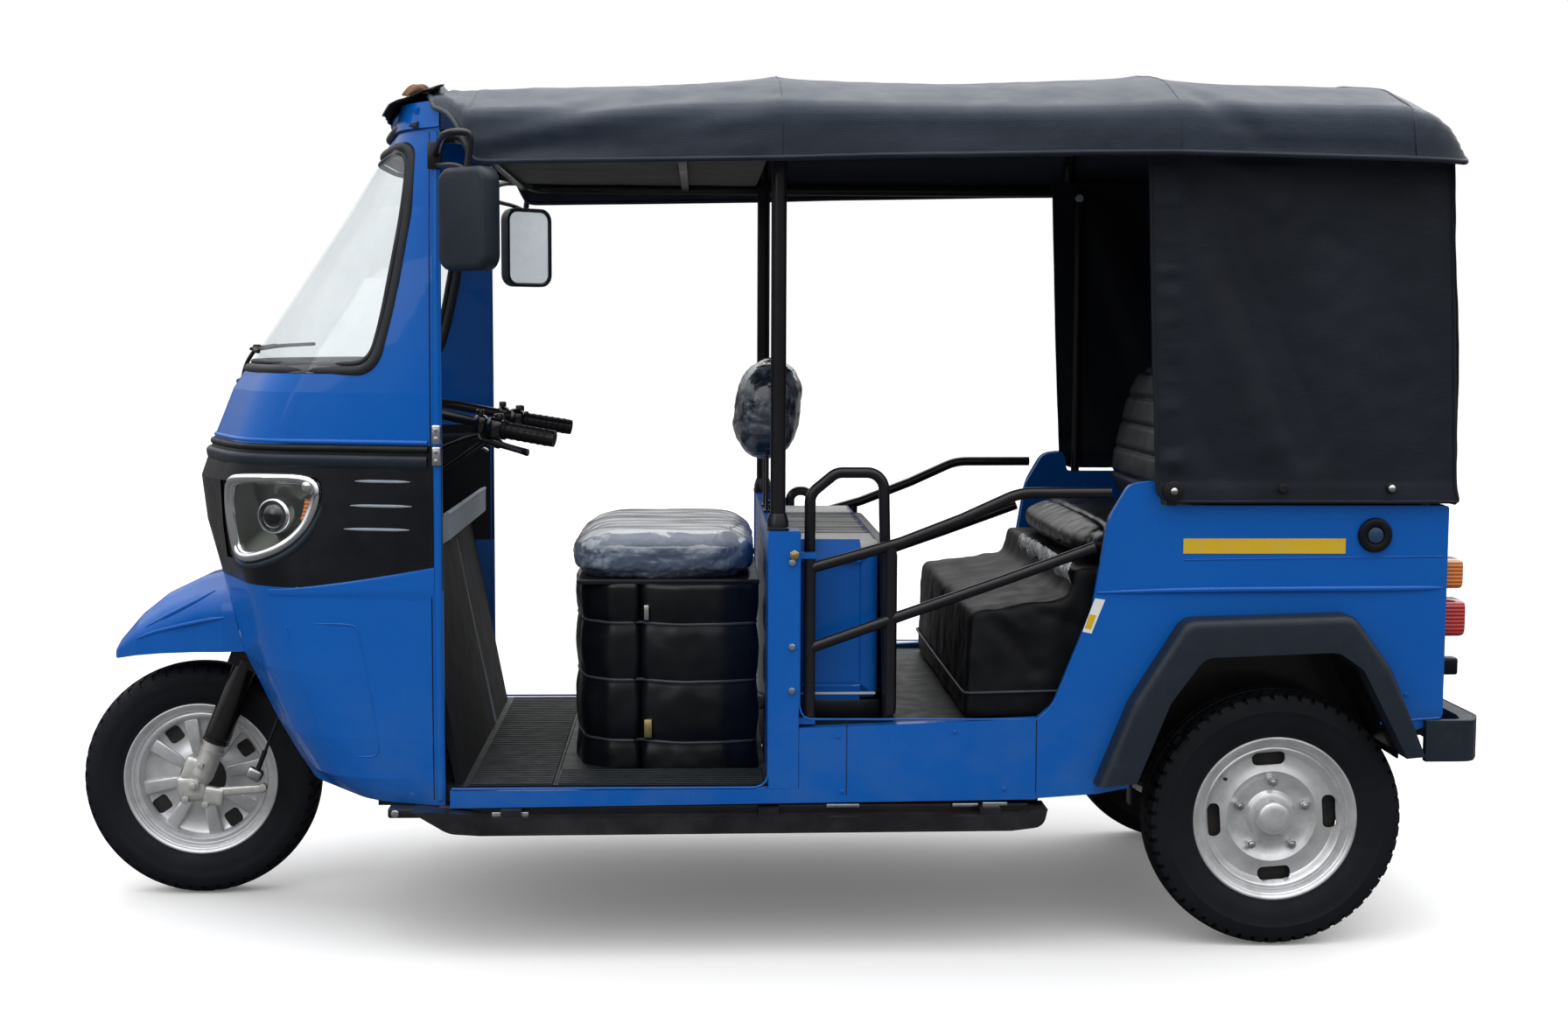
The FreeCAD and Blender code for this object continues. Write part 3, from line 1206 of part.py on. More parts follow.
for build in (lowerCabShell, wheelWell, frontMudguard, fascia, headlamps, upperCabShell,
              windshield, roofCap, chassisFrame, floorPlate, bulkhead, sideSills,
              quarterPanels, wheelArches, fenderFlares, tailPanel, rearBumper, tailLamps,
              toeBoard, dashTray, engineCover, engineBlock, driverCushion, driverBackrest,
              luggageBox, grabRail, seatBox, benchCushion, benchBack, backFrame,
              roofCanopy, roofRails, roofBows, roofPosts, sideCurtains, rearCurtain, mirrors,
              runningBoards, rearAxle, leafSprings, propellerShaft, fork, forkSliders,
              handlebar, wheels, gates):
    build()

doc.recompute()

faults = [obj.Name + " " + obj.Label for obj in doc.Objects
          if "Invalid" in obj.State or "Error" in obj.State]
for piece in subParts:
    if piece.Shape.isNull() or not piece.Shape.isValid() or not piece.Shape.Solids:
        faults.append(piece.Label + " has no valid solid")
if faults:
    raise RuntimeError("; ".join(faults))

os.makedirs("parts", exist_ok=True)
for piece in subParts:
    piece.Shape.exportStep("parts/%s.step" % piece.Label)
    print(piece.Label, len(piece.Shape.Solids), "solids", round(piece.Shape.Volume / 1e6, 2), "litres")
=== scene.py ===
import math

import bpy
from mathutils import Matrix, Vector, noise
from mathutils.bvhtree import BVHTree


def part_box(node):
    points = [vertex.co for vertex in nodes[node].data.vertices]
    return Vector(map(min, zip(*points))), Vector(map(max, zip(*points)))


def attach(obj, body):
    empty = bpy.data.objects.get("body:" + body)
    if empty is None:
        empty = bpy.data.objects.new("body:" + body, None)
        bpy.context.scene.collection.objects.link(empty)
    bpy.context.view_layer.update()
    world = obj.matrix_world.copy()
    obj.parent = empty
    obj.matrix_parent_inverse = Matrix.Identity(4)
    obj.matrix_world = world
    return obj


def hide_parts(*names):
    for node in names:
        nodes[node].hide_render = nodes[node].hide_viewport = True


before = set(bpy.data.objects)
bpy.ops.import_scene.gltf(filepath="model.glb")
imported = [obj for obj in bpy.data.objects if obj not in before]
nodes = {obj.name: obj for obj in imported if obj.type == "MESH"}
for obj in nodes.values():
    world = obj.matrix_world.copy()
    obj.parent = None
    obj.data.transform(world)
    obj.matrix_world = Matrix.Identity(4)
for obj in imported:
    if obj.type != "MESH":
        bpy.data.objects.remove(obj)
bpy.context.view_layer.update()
scene = bpy.context.scene


def boxMiddle(node):
    low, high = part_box(node)
    return (Vector(low) + Vector(high)) / 2


axleX = boxMiddle("front_tyre").x
wheelR = {"front": boxMiddle("front_tyre").z, "rear": boxMiddle("rear_left_tyre").z}
# all in millimetres: rear axle's place, half the rear track, half the body's width
vehicle = {"wheelbase": 2245, "halfTrack": 430, "bodyY": 515.0}


def at(x, y, z):
    # millimetres back from the front axle, right of the centre line and above the ground
    return Vector((axleX + x / 1000, y / 1000, z / 1000))


print("frame loaded,", len(nodes), "nodes")


# working in the editor

def leaveEdit():
    if bpy.context.object and bpy.context.object.mode != "OBJECT":
        bpy.ops.object.mode_set(mode="OBJECT")


def clearSelection():
    leaveEdit()
    bpy.ops.object.select_all(action="DESELECT")


def pick(piece):
    clearSelection()
    piece.select_set(True)
    bpy.context.view_layer.objects.active = piece
    return piece


def openMesh(piece, mode="FACE"):
    pick(piece)
    bpy.ops.object.mode_set(mode="EDIT")
    bpy.ops.mesh.select_mode(type=mode)


def openAll(piece, mode="FACE"):
    openMesh(piece, mode)
    bpy.ops.mesh.select_all(action="SELECT")


def markFaces(piece, test):
    # selects the faces that pass the test of centre and normal, and opens the mesh
    leaveEdit()
    mesh = piece.data
    mesh.vertices.foreach_set("select", [False] * len(mesh.vertices))
    mesh.edges.foreach_set("select", [False] * len(mesh.edges))
    mesh.polygons.foreach_set("select", [bool(test(f.center, f.normal)) for f in mesh.polygons])
    openMesh(piece, "FACE")


def markEdges(piece, test):
    # selects the edges that pass the test of both ends, and opens the mesh
    leaveEdit()
    mesh = piece.data
    ends = [[mesh.vertices[i].co for i in edge.vertices] for edge in mesh.edges]
    mesh.vertices.foreach_set("select", [False] * len(mesh.vertices))
    mesh.polygons.foreach_set("select", [False] * len(mesh.polygons))
    mesh.edges.foreach_set("select", [bool(test(a, b)) for a, b in ends])
    openMesh(piece, "EDGE")


def useModifier(piece, kind, **settings):
    # adds a modifier, gives it its settings and applies it
    pick(piece)
    bpy.ops.object.modifier_add(type=kind)
    modifier = piece.modifiers[-1]
    for name, value in settings.items():
        setattr(modifier, name, value)
    bpy.ops.object.modifier_apply(modifier=modifier.name)


def cleanMesh(piece, distance=0.00002):
    # joins doubles and turns every face outwards
    openAll(piece)
    bpy.ops.mesh.remove_doubles(threshold=distance)
    bpy.ops.mesh.normals_make_consistent(inside=False)
    leaveEdit()


def settle(piece):
    # puts the piece's place into its mesh, so that the object sits at the origin
    pick(piece)
    bpy.ops.object.transform_apply(location=True, rotation=True, scale=True)


def smooth(piece, angle):
    pick(piece)
    bpy.ops.object.shade_smooth_by_angle(angle=math.radians(angle))


def twin(piece, name, mirror=False):
    # a copy with its own mesh, over the centre line if asked
    copy = piece.copy()
    copy.data = piece.data.copy()
    copy.name = name
    scene.collection.objects.link(copy)
    if mirror:
        copy.data.transform(Matrix.Scale(-1, 4, (0, 1, 0)))
        openAll(copy)
        bpy.ops.mesh.flip_normals()
        leaveEdit()
    return copy


def meshPiece(name, points, edges, faces):
    # a new piece from its points and what joins them
    mesh = bpy.data.meshes.new(name)
    mesh.from_pydata(points, edges, faces)
    piece = bpy.data.objects.new(name, mesh)
    scene.collection.objects.link(piece)
    return piece


def joined(pieces):
    pick(pieces[0])
    for piece in pieces[1:]:
        piece.select_set(True)
    if len(pieces) > 1:
        bpy.ops.object.join()
    return pieces[0]


def place(piece, name, finish, body="chassis", slot=None, replaces=(), angle=30):
    # names a finished piece, gives it its finish, and says what it rides on; its slot is only looked up, not kept
    settle(piece)
    smooth(piece, angle)
    piece.name = piece.data.name = name
    piece.data.materials.clear()
    piece.data.materials.append(finish)
    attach(piece, body)
    # a name that the frame has already taken ends in a number here
    slot or slotOfFinish[finish.name.split(".")[0]]
    if replaces:
        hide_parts(*replaces)
    return piece


def bothSides(piece, name, finish, **words):
    # the piece on the left and its mirrored twin on the right
    settle(piece)
    other = twin(piece, name + "_right", mirror=True)
    return [place(piece, name + "_left", finish, **words), place(other, name + "_right", finish, **words)]


def block(low, high, bevel, segments=2):
    # a box between two corners, with rounded edges
    clearSelection()
    low, high = Vector(low), Vector(high)
    bpy.ops.mesh.primitive_cube_add(size=1, location=(low + high) / 2, scale=high - low)
    piece = bpy.context.object
    settle(piece)
    if bevel:
        openAll(piece)
        bpy.ops.mesh.bevel(offset=bevel, segments=segments, affect="EDGES")
        leaveEdit()
    return piece


def rod(start, end, radius, sides, bevel):
    # a bar between two points, with rounded ends
    clearSelection()
    start, end = Vector(start), Vector(end)
    bpy.ops.mesh.primitive_cylinder_add(vertices=sides, radius=radius, depth=(end - start).length,
                                        location=(start + end) / 2,
                                        rotation=(end - start).to_track_quat("Z", "Y").to_euler())
    piece = bpy.context.object
    settle(piece)
    along = (end - start).normalized()
    markFaces(piece, lambda c, n: abs(n.dot(along)) > 0.9)
    bpy.ops.mesh.bevel(offset=bevel, segments=3, affect="EDGES")
    leaveEdit()
    return piece


def pathPiece(points, radius, order=3, closed=False, resolution=6, sides=3, tapers=None):
    # a round bar that follows a smooth path, made a mesh
    clearSelection()
    bpy.ops.curve.primitive_nurbs_path_add()
    piece = bpy.context.object
    curve = piece.data
    curve.splines.clear()
    spline = curve.splines.new("NURBS")
    spline.points.add(len(points) - 1)
    for i, (point, spot) in enumerate(zip(spline.points, points)):
        point.co = (*spot, 1)
        point.radius = tapers[i] if tapers else 1
    spline.order_u = min(order, len(points))
    spline.use_cyclic_u = closed
    spline.use_endpoint_u = not closed
    spline.resolution_u = resolution
    curve.dimensions = "3D"
    curve.bevel_depth = radius
    curve.bevel_resolution = sides
    curve.use_fill_caps = True
    bpy.ops.object.convert(target="MESH")
    piece = bpy.context.object
    cleanMesh(piece)
    return piece


def spun(profile, centre, axis="Y", sides=96):
    # a profile of (distance along the axis, radius) turned about an axis through a centre
    clearSelection()
    turn = {"Y": lambda a, r: (0, a, r), "X": lambda a, r: (a, 0, r), "Z": lambda a, r: (r, 0, a)}[axis]
    edges = [(i, i + 1) for i in range(len(profile) - 1)]
    piece = meshPiece("profile", [turn(a, r) for a, r in profile], edges, [])
    piece.location = centre
    openAll(piece, "VERT")
    way = {"X": (1, 0, 0), "Y": (0, 1, 0), "Z": (0, 0, 1)}[axis]
    bpy.ops.mesh.spin(steps=sides, angle=math.radians(360), center=centre, axis=way)
    bpy.ops.mesh.select_all(action="SELECT")
    bpy.ops.mesh.remove_doubles(threshold=0.00001)
    bpy.ops.mesh.normals_make_consistent(inside=False)
    leaveEdit()
    settle(piece)
    return piece


# finishes: each is a Principled surface with noise for its colour, gloss and relief

def newFinish(name, **sockets):
    material = bpy.data.materials.new(name)
    material.use_nodes = True
    shader = material.node_tree.nodes["Principled BSDF"]
    for socket, value in sockets.items():
        shader.inputs[socket.replace("_", " ")].default_value = value
    return material, material.node_tree, shader


def addNode(tree, kind, **settings):
    node = tree.nodes.new("ShaderNode" + kind)
    for name, value in settings.items():
        if name in node.inputs:
            node.inputs[name].default_value = value
        else:
            setattr(node, name, value)
    return node


def placeOf(tree, scale=(1, 1, 1), turn=(0, 0, 0)):
    # the place on the piece, stretched and turned for a pattern
    coordinates = addNode(tree, "TexCoord")
    mapping = addNode(tree, "Mapping", Scale=scale, Rotation=turn)
    tree.links.new(coordinates.outputs["Object"], mapping.inputs["Vector"])
    return mapping.outputs["Vector"]


def cloudy(tree, vector, scale, detail, roughness=0.5, distortion=0.0):
    pattern = addNode(tree, "TexNoise", Scale=scale, Detail=detail, Roughness=roughness, Distortion=distortion)
    tree.links.new(vector, pattern.inputs["Vector"])
    return pattern.outputs["Fac"]


def stripes(tree, vector, scale, axis):
    pattern = addNode(tree, "TexWave", wave_type="BANDS", bands_direction=axis, Scale=scale)
    tree.links.new(vector, pattern.inputs["Vector"])
    return pattern.outputs["Fac"]


def cells(tree, vector, scale, feature="F1"):
    pattern = addNode(tree, "TexVoronoi", feature=feature, Scale=scale)
    tree.links.new(vector, pattern.inputs["Vector"])
    return pattern.outputs["Distance"]


def ranged(tree, value, low, high, toLow=0.0, toHigh=1.0):
    node = addNode(tree, "MapRange")
    for socket, number in zip(("From Min", "From Max", "To Min", "To Max"), (low, high, toLow, toHigh)):
        node.inputs[socket].default_value = number
    tree.links.new(value, node.inputs["Value"])
    return node.outputs["Result"]


def reckon(tree, kind, a, b):
    node = addNode(tree, "Math", operation=kind)
    for socket, value in zip(node.inputs, (a, b)):
        if isinstance(value, (int, float)):
            socket.default_value = value
        else:
            tree.links.new(value, socket)
    return node.outputs["Value"]


def blendColours(tree, share, first, second):
    node = addNode(tree, "Mix", data_type="RGBA")
    tree.links.new(share, node.inputs["Factor"])
    for socket, value in ((node.inputs[6], first), (node.inputs[7], second)):
        if isinstance(value, tuple):
            socket.default_value = (*value, 1)
        else:
            tree.links.new(value, socket)
    return node.outputs[2]


def colourBetween(tree, shader, share, first, second):
    tree.links.new(blendColours(tree, share, first, second), shader.inputs["Base Color"])


def roughBetween(tree, shader, vector, scale, detail, low, high, roughness=0.5):
    # the gloss changes softly over the piece
    tree.links.new(ranged(tree, cloudy(tree, vector, scale, detail, roughness), 0.3, 0.7, low, high),
                   shader.inputs["Roughness"])


def relief(tree, shader, layers):
    # bumps of (height, depth in metres) one on another
    normal = None
    for height, depth in layers:
        node = addNode(tree, "Bump", Strength=1.0, Distance=depth)
        tree.links.new(height, node.inputs["Height"])
        if normal is not None:
            tree.links.new(normal, node.inputs["Normal"])
        normal = node.outputs["Normal"]
    tree.links.new(normal, shader.inputs["Normal"])


def heightAbove(tree, low, high):
    # 1 below the low height, fading to 0 at the high one
    coordinates = addNode(tree, "TexCoord")
    split = addNode(tree, "SeparateXYZ")
    tree.links.new(coordinates.outputs["Object"], split.inputs["Vector"])
    return ranged(tree, split.outputs["Z"], low, high, 1.0, 0.0)


paintLook = {"deep": (0.0012, 0.082, 0.37), "light": (0.0025, 0.108, 0.45), "dust": (0.10, 0.16, 0.26)}


def paintFinish(name, look, dustShare=0.30, **sockets):
    # glossy paint: faint orange peel, soft unevenness of the panels, road dust low down
    material, tree, shader = newFinish(name, **sockets)
    here = placeOf(tree)
    tone = blendColours(tree, cloudy(tree, here, 2.2, 4), look["deep"], look["light"])
    film = reckon(tree, "MULTIPLY", heightAbove(tree, 0.22, 0.62),
                  ranged(tree, cloudy(tree, here, 9, 6, 0.65), 0.42, 0.72, 0.0, dustShare))
    colourBetween(tree, shader, film, tone, look["dust"])
    roughBetween(tree, shader, here, 14, 5, 0.24, 0.36)
    relief(tree, shader, [(cloudy(tree, here, 3.2, 2), 0.0022), (cloudy(tree, here, 420, 1), 0.00004)])
    return material


bluePaint = paintFinish("bluePaint", paintLook, Coat_Weight=0.3, Coat_Roughness=0.04,
                        Specular_IOR_Level=0.12)
blackPaint = paintFinish("blackPaint", {"deep": (0.006, 0.006, 0.008), "light": (0.013, 0.013, 0.016),
                                        "dust": (0.10, 0.10, 0.10)}, 0.20, Coat_Weight=0.2,
                         Coat_Roughness=0.15, Specular_IOR_Level=0.2)


def mouldedFinish(name, colour, worn, rough, grain=700, depth=0.00009):
    # moulded plastic with a fine even grain and slight scuffs
    material, tree, shader = newFinish(name, Specular_IOR_Level=0.25)
    here = placeOf(tree)
    scuffs = ranged(tree, cloudy(tree, here, 26, 8, 0.7), 0.52, 0.75, 0.0, 0.45)
    colourBetween(tree, shader, scuffs, colour, worn)
    roughBetween(tree, shader, here, 18, 5, rough - 0.06, rough + 0.06)
    relief(tree, shader, [(cells(tree, here, grain), depth)])
    return material


fasciaPlastic = mouldedFinish("fasciaPlastic", (0.0028, 0.0036, 0.0062), (0.0085, 0.010, 0.0145), 0.33)
flarePlastic = mouldedFinish("flarePlastic", (0.011, 0.017, 0.027), (0.026, 0.034, 0.047), 0.46)
greyPlastic = mouldedFinish("greyPlastic", (0.26, 0.30, 0.35), (0.36, 0.40, 0.44), 0.5)
rubberSeal = mouldedFinish("rubberSeal", (0.017, 0.019, 0.024), (0.035, 0.037, 0.042), 0.55, 900, 0.00005)


def clothFinish(name, colour, faded, rough, threads, depth, paintedPaleTop=None):
    # coated cloth: two crossed sets of threads, faded patches and soft creases
    material, tree, shader = newFinish(name, Sheen_Weight=0.04, Sheen_Roughness=0.4,
                                       Specular_IOR_Level=0.22)
    here = placeOf(tree)
    fade = ranged(tree, cloudy(tree, placeOf(tree, (1, 1, 0.6)), 3.0, 6, 0.6), 0.38, 0.72, 0.0, 1.0)
    tone = blendColours(tree, fade, colour, faded)
    if paintedPaleTop:
        # painted highlight: the top, where the light from above falls, is paler
        tone = blendColours(tree, heightAbove(tree, *paintedPaleTop[:2]), paintedPaleTop[2], tone)
    tree.links.new(tone, shader.inputs["Base Color"])
    roughBetween(tree, shader, here, 11, 6, rough - 0.07, rough + 0.08, 0.6)
    warp = stripes(tree, placeOf(tree), threads, "X")
    weft = stripes(tree, placeOf(tree, turn=(0.78, 0, 0)), threads, "Z")
    relief(tree, shader, [(cloudy(tree, here, 16, 4, 0.55, 0.6), 0.0016),
                          (reckon(tree, "MULTIPLY", warp, weft), depth)])
    return material


# the canopy's canvas, with a paler top as painted highlight
canvas = clothFinish("canvas", (0.0075, 0.0125, 0.023), (0.018, 0.026, 0.043), 0.40, 150, 0.00022,
                     paintedPaleTop=(1.585, 1.670, (0.030, 0.041, 0.062)))
curtainCloth = clothFinish("curtainCloth", (0.0042, 0.0066, 0.0125), (0.0085, 0.0125, 0.021), 0.58, 150,
                           0.00025)
lining = clothFinish("lining", (0.028, 0.028, 0.021), (0.048, 0.046, 0.034), 0.7, 120, 0.0002)


def vinylFinish(name, colour, worn, rough, crease, coat):
    # smooth vinyl with a leather grain and fine creases
    material, tree, shader = newFinish(name, Coat_Weight=coat, Coat_Roughness=0.16, Specular_IOR_Level=0.2)
    here = placeOf(tree)
    wear = ranged(tree, cloudy(tree, here, 7, 7, 0.65), 0.45, 0.75, 0.0, 0.8)
    colourBetween(tree, shader, wear, colour, worn)
    roughBetween(tree, shader, here, 13, 5, rough - 0.07, rough + 0.1)
    relief(tree, shader, [(cloudy(tree, here, 14, 5, 0.6, 1.2), crease), (cells(tree, here, 520), 0.00012)])
    return material


vinyl = vinylFinish("vinyl", (0.0028, 0.0034, 0.0050), (0.008, 0.0095, 0.013), 0.33, 0.0008, 0.16)
boxVinyl = vinylFinish("boxVinyl", (0.0030, 0.0034, 0.0046), (0.0085, 0.0095, 0.012), 0.50, 0.0006, 0.0)
toeRubber = mouldedFinish("toeRubber", (0.0022, 0.0028, 0.0045), (0.007, 0.008, 0.011), 0.72)
vinylRibbed = vinylFinish("vinylRibbed", (0.008, 0.011, 0.016), (0.020, 0.024, 0.032), 0.42, 0.0008, 0.12)


def wrappedFinish(name, colour, glint, patch, paintedFilmTop=None):
    # vinyl under clear film, with painted highlights: pale streaks in the colour where the film's creases shine
    material, tree, shader = newFinish(name, Coat_Weight=1.0, Coat_Roughness=0.08)
    streaks = cells(tree, placeOf(tree, (1, 0.45, 1), (0.3, 0.5, 0.4)), 26, "DISTANCE_TO_EDGE")
    folds = cloudy(tree, placeOf(tree, (0.6, 1, 1.2), (0.2, 0, 0.6)), patch, 8, 0.62, 2.2)
    glare = reckon(tree, "MULTIPLY", ranged(tree, folds, 0.46, 0.66, 0.0, 1.0),
                   ranged(tree, streaks, 0.0, 0.16, 1.0, 0.45))
    tone = blendColours(tree, glare, colour, glint)
    if paintedFilmTop:
        # painted highlight: the flat top, which faces the light from above, is paler
        low, high, light = paintedFilmTop
        paintedTopSheen = blendColours(tree, ranged(tree, glare, 0, 1, 0, 0.6), light, glint)
        tone = blendColours(tree, heightAbove(tree, low, high), paintedTopSheen, tone)
    tree.links.new(tone, shader.inputs["Base Color"])
    tree.links.new(ranged(tree, folds, 0.35, 0.65, 0.16, 0.34), shader.inputs["Roughness"])
    relief(tree, shader, [(folds, 0.006), (ranged(tree, streaks, 0.0, 0.12, 1.0, 0.0), 0.0008)])
    return material


# the driver's cushion wrap, with painted highlights in its creases and on its paler top
filmVinyl = wrappedFinish("filmVinyl", (0.060, 0.085, 0.135), (0.40, 0.46, 0.56), 5.0,
                          (0.790, 0.812, (0.46, 0.51, 0.60)))
# the backrest's wrap, with pale streaks as painted highlights
filmBack = wrappedFinish("filmBack", (0.014, 0.020, 0.034), (0.20, 0.24, 0.30), 7.0)


def metalFinish(name, colour, stained, rough, depth=0.00012, grain=160, metallic=1.0):
    material, tree, shader = newFinish(name, Metallic=metallic)
    here = placeOf(tree)
    stain = ranged(tree, cloudy(tree, here, 16, 8, 0.7), 0.46, 0.74, 0.0, 0.9)
    colourBetween(tree, shader, stain, colour, stained)
    roughBetween(tree, shader, here, 40, 5, rough - 0.06, rough + 0.09)
    relief(tree, shader, [(cloudy(tree, here, grain, 3), depth)])
    return material


wheelSilver = metalFinish("wheelSilver", (0.62, 0.63, 0.65), (0.42, 0.42, 0.41), 0.36, 0.00006, 120, 0.55)
castMetal = metalFinish("castMetal", (0.58, 0.58, 0.56), (0.36, 0.34, 0.30), 0.48, 0.0002, 200, 0.7)
steel = metalFinish("steel", (0.55, 0.56, 0.58), (0.32, 0.31, 0.30), 0.28)
# the mirror glass glows a little, for the bright sky that it would show
mirrorSilver = metalFinish("mirrorSilver", (0.84, 0.88, 0.91), (0.66, 0.71, 0.75), 0.22, 0.00002, 120, 0.3)
for socket, value in (("Emission Color", (0.80, 0.87, 0.92, 1)), ("Emission Strength", 0.38)):
    mirrorSilver.node_tree.nodes["Principled BSDF"].inputs[socket].default_value = value
chrome = metalFinish("chrome", (0.80, 0.82, 0.85), (0.62, 0.63, 0.65), 0.10, 0.00002)
brass = metalFinish("brass", (0.55, 0.42, 0.20), (0.30, 0.22, 0.12), 0.34)


def rubberFinish(name, colour, dusty, rough):
    material, tree, shader = newFinish(name, Specular_IOR_Level=0.22)
    here = placeOf(tree)
    dust = ranged(tree, cloudy(tree, here, 12, 8, 0.7), 0.45, 0.78, 0.0, 0.75)
    colourBetween(tree, shader, dust, colour, dusty)
    roughBetween(tree, shader, here, 30, 5, rough - 0.07, rough + 0.08)
    relief(tree, shader, [(cloudy(tree, here, 90, 5, 0.65), 0.0004)])
    return material


tyreRubber = rubberFinish("tyreRubber", (0.0040, 0.0050, 0.0080), (0.0085, 0.0095, 0.0125), 0.66)
matRubber = rubberFinish("matRubber", (0.006, 0.009, 0.011), (0.017, 0.021, 0.023), 0.5)
gripRubber = rubberFinish("gripRubber", (0.006, 0.006, 0.007), (0.016, 0.016, 0.017), 0.55)


def lensFinish(name, colour):
    # coloured clear plastic over a ribbed reflector; painted shade darkens the colour in bands between the ribs
    material, tree, shader = newFinish(name, Roughness=0.12, Coat_Weight=1.0, Coat_Roughness=0.03)
    here = placeOf(tree)
    ribs = stripes(tree, here, 42, "Z")
    paintedRibShade = tuple(c * 0.45 for c in colour)
    colourBetween(tree, shader, ranged(tree, ribs, 0.2, 0.9), paintedRibShade, colour)
    relief(tree, shader, [(ribs, 0.0012)])
    return material


redLens = lensFinish("redLens", (0.55, 0.012, 0.012))
amberLens = lensFinish("amberLens", (0.78, 0.20, 0.012))


def glassFinish(name, tint, milk, haze):
    # thin clear glass: mostly see-through, with its own reflection and a faint film of dust
    material, tree, shader = newFinish(name, Roughness=0.35)
    here = placeOf(tree)
    colourBetween(tree, shader, cloudy(tree, here, 5, 5), (0.62, 0.66, 0.68), (0.80, 0.83, 0.85))
    clear = addNode(tree, "BsdfTransparent", Color=(*tint, 1))
    gloss = addNode(tree, "BsdfGlossy", Roughness=0.03, Color=(0.9, 0.93, 0.96, 1))
    seen = addNode(tree, "MixShader", Fac=0.05)
    tree.links.new(clear.outputs[0], seen.inputs[1])
    tree.links.new(gloss.outputs[0], seen.inputs[2])
    whole = addNode(tree, "MixShader")
    tree.links.new(ranged(tree, cloudy(tree, here, 4, 6, 0.6), 0.3, 0.7, milk, haze), whole.inputs["Fac"])
    tree.links.new(seen.outputs[0], whole.inputs[1])
    tree.links.new(shader.outputs[0], whole.inputs[2])
    output = next(node for node in tree.nodes if node.type == "OUTPUT_MATERIAL")
    tree.links.new(whole.outputs[0], output.inputs["Surface"])
    return material


screenGlass = glassFinish("screenGlass", (0.97, 0.985, 0.99), 0.01, 0.10)
lampGlass = glassFinish("lampGlass", (0.96, 0.97, 0.975), 0.0, 0.02)

# the part's own slot behind each finish, where a piece doesn't say another
slotOfFinish = {finish: slot for slot, finishes in {
    "blue_paint": ["bluePaint"], "black_paint": ["blackPaint"], "cast_metal": ["castMetal"],
    "wheel_paint": ["steel", "mirrorSilver", "chrome", "brass"], "floor_mat": ["matRubber"],
    "grey_plastic": ["greyPlastic", "palePlastic"],
    "dark_plastic": ["fasciaPlastic", "flarePlastic", "slatePlastic", "rubberSeal", "gripRubber", "blackGloss"],
    "canvas": ["canvas", "curtainCloth", "lining", "oldCloth", "rustyCloth", "clearFilm"],
    "vinyl": ["vinyl", "boxVinyl", "vinylRibbed", "greyVinylHighlight", "filmVinyl", "filmBack"],
    "lamp_glass": ["lampGlass"],
    "lamp_plastic": ["redLens", "amberLens", "reflectorShade", "darkLens", "yellowFilm", "whiteFilm"],
}.items() for finish in finishes}
print("finishes ready")

# the frame's own nodes keep their shape and get these finishes
finishOfNode = {
    bluePaint: ["lower_cab_shell", "upper_cab_shell", "roof_cap", "front_mudguard", "bulkhead",
                "side_sills", "quarter_panels", "tail_panel"],
    blackPaint: ["chassis_frame", "wheel_well", "wheel_arches", "grab_rails", "roof_rails", "roof_bows",
                 "roof_posts", "left_gate", "right_gate", "back_frame", "rear_axle", "leaf_springs",
                 "propeller_shaft", "running_boards", "handlebar", "fork"],
    fasciaPlastic: ["fascia"],
    toeRubber: ["toe_board"],
    flarePlastic: ["fender_flares", "rear_bumper", "mirrors"],
    greyPlastic: ["dash_tray"],
    screenGlass: ["windshield"],
    matRubber: ["floor_plate"],
    castMetal: ["engine_block", "fork_sliders"],
    vinyl: ["engine_cover"],
}
for finish, names in finishOfNode.items():
    for name in names:
        data = nodes[name].data
        data.materials.clear()
        data.materials.append(finish)


# wheels

# near-black iron for the drums: partly the drums' own dark iron, partly painted shade inside the wheels
ironAndShade = metalFinish("ironAndShade", (0.012, 0.012, 0.013), (0.035, 0.026, 0.020), 0.6, 0.0004, 120, 0.2)

tyreSizes = {
    # half section as (out from the middle, radius), tread steps round, how deep the tread is cut
    "front": {"steps": 150, "cut": 0.0035, "every": 3, "crown": 0.255,
              "half": [(0, 255), (9, 254.9), (10.5, 250.5), (14, 250.4), (15.5, 254.4), (27, 252.6), (35, 249.6),
                       (41, 244.5), (45.5, 236), (48.2, 224), (49, 212), (48.4, 210), (48.2, 198), (46, 186),
                       (42.5, 176), (40, 171), (39.2, 167.6), (36.8, 166.4), (34, 167.2)],
              "inner": [(36, 174), (41, 190), (42.5, 210), (40, 230), (33, 243), (0, 247)]},
    "rear": {"steps": 168, "cut": 0.0075, "every": 3, "crown": 0.260,
             "half": [(0, 260), (9, 259.9), (10.5, 253), (15, 252.9), (16.5, 259.4), (30, 258), (42, 255.4),
                      (49, 251.5), (52.5, 243), (54.5, 233), (56, 220), (55.2, 218), (55, 203), (52, 189),
                      (48.5, 178), (46, 172), (45.2, 167.8), (43, 166.4), (41, 167.4)],
             "inner": [(43, 176), (48, 192), (49.5, 214), (46, 236), (38, 247), (0, 251)]},
}


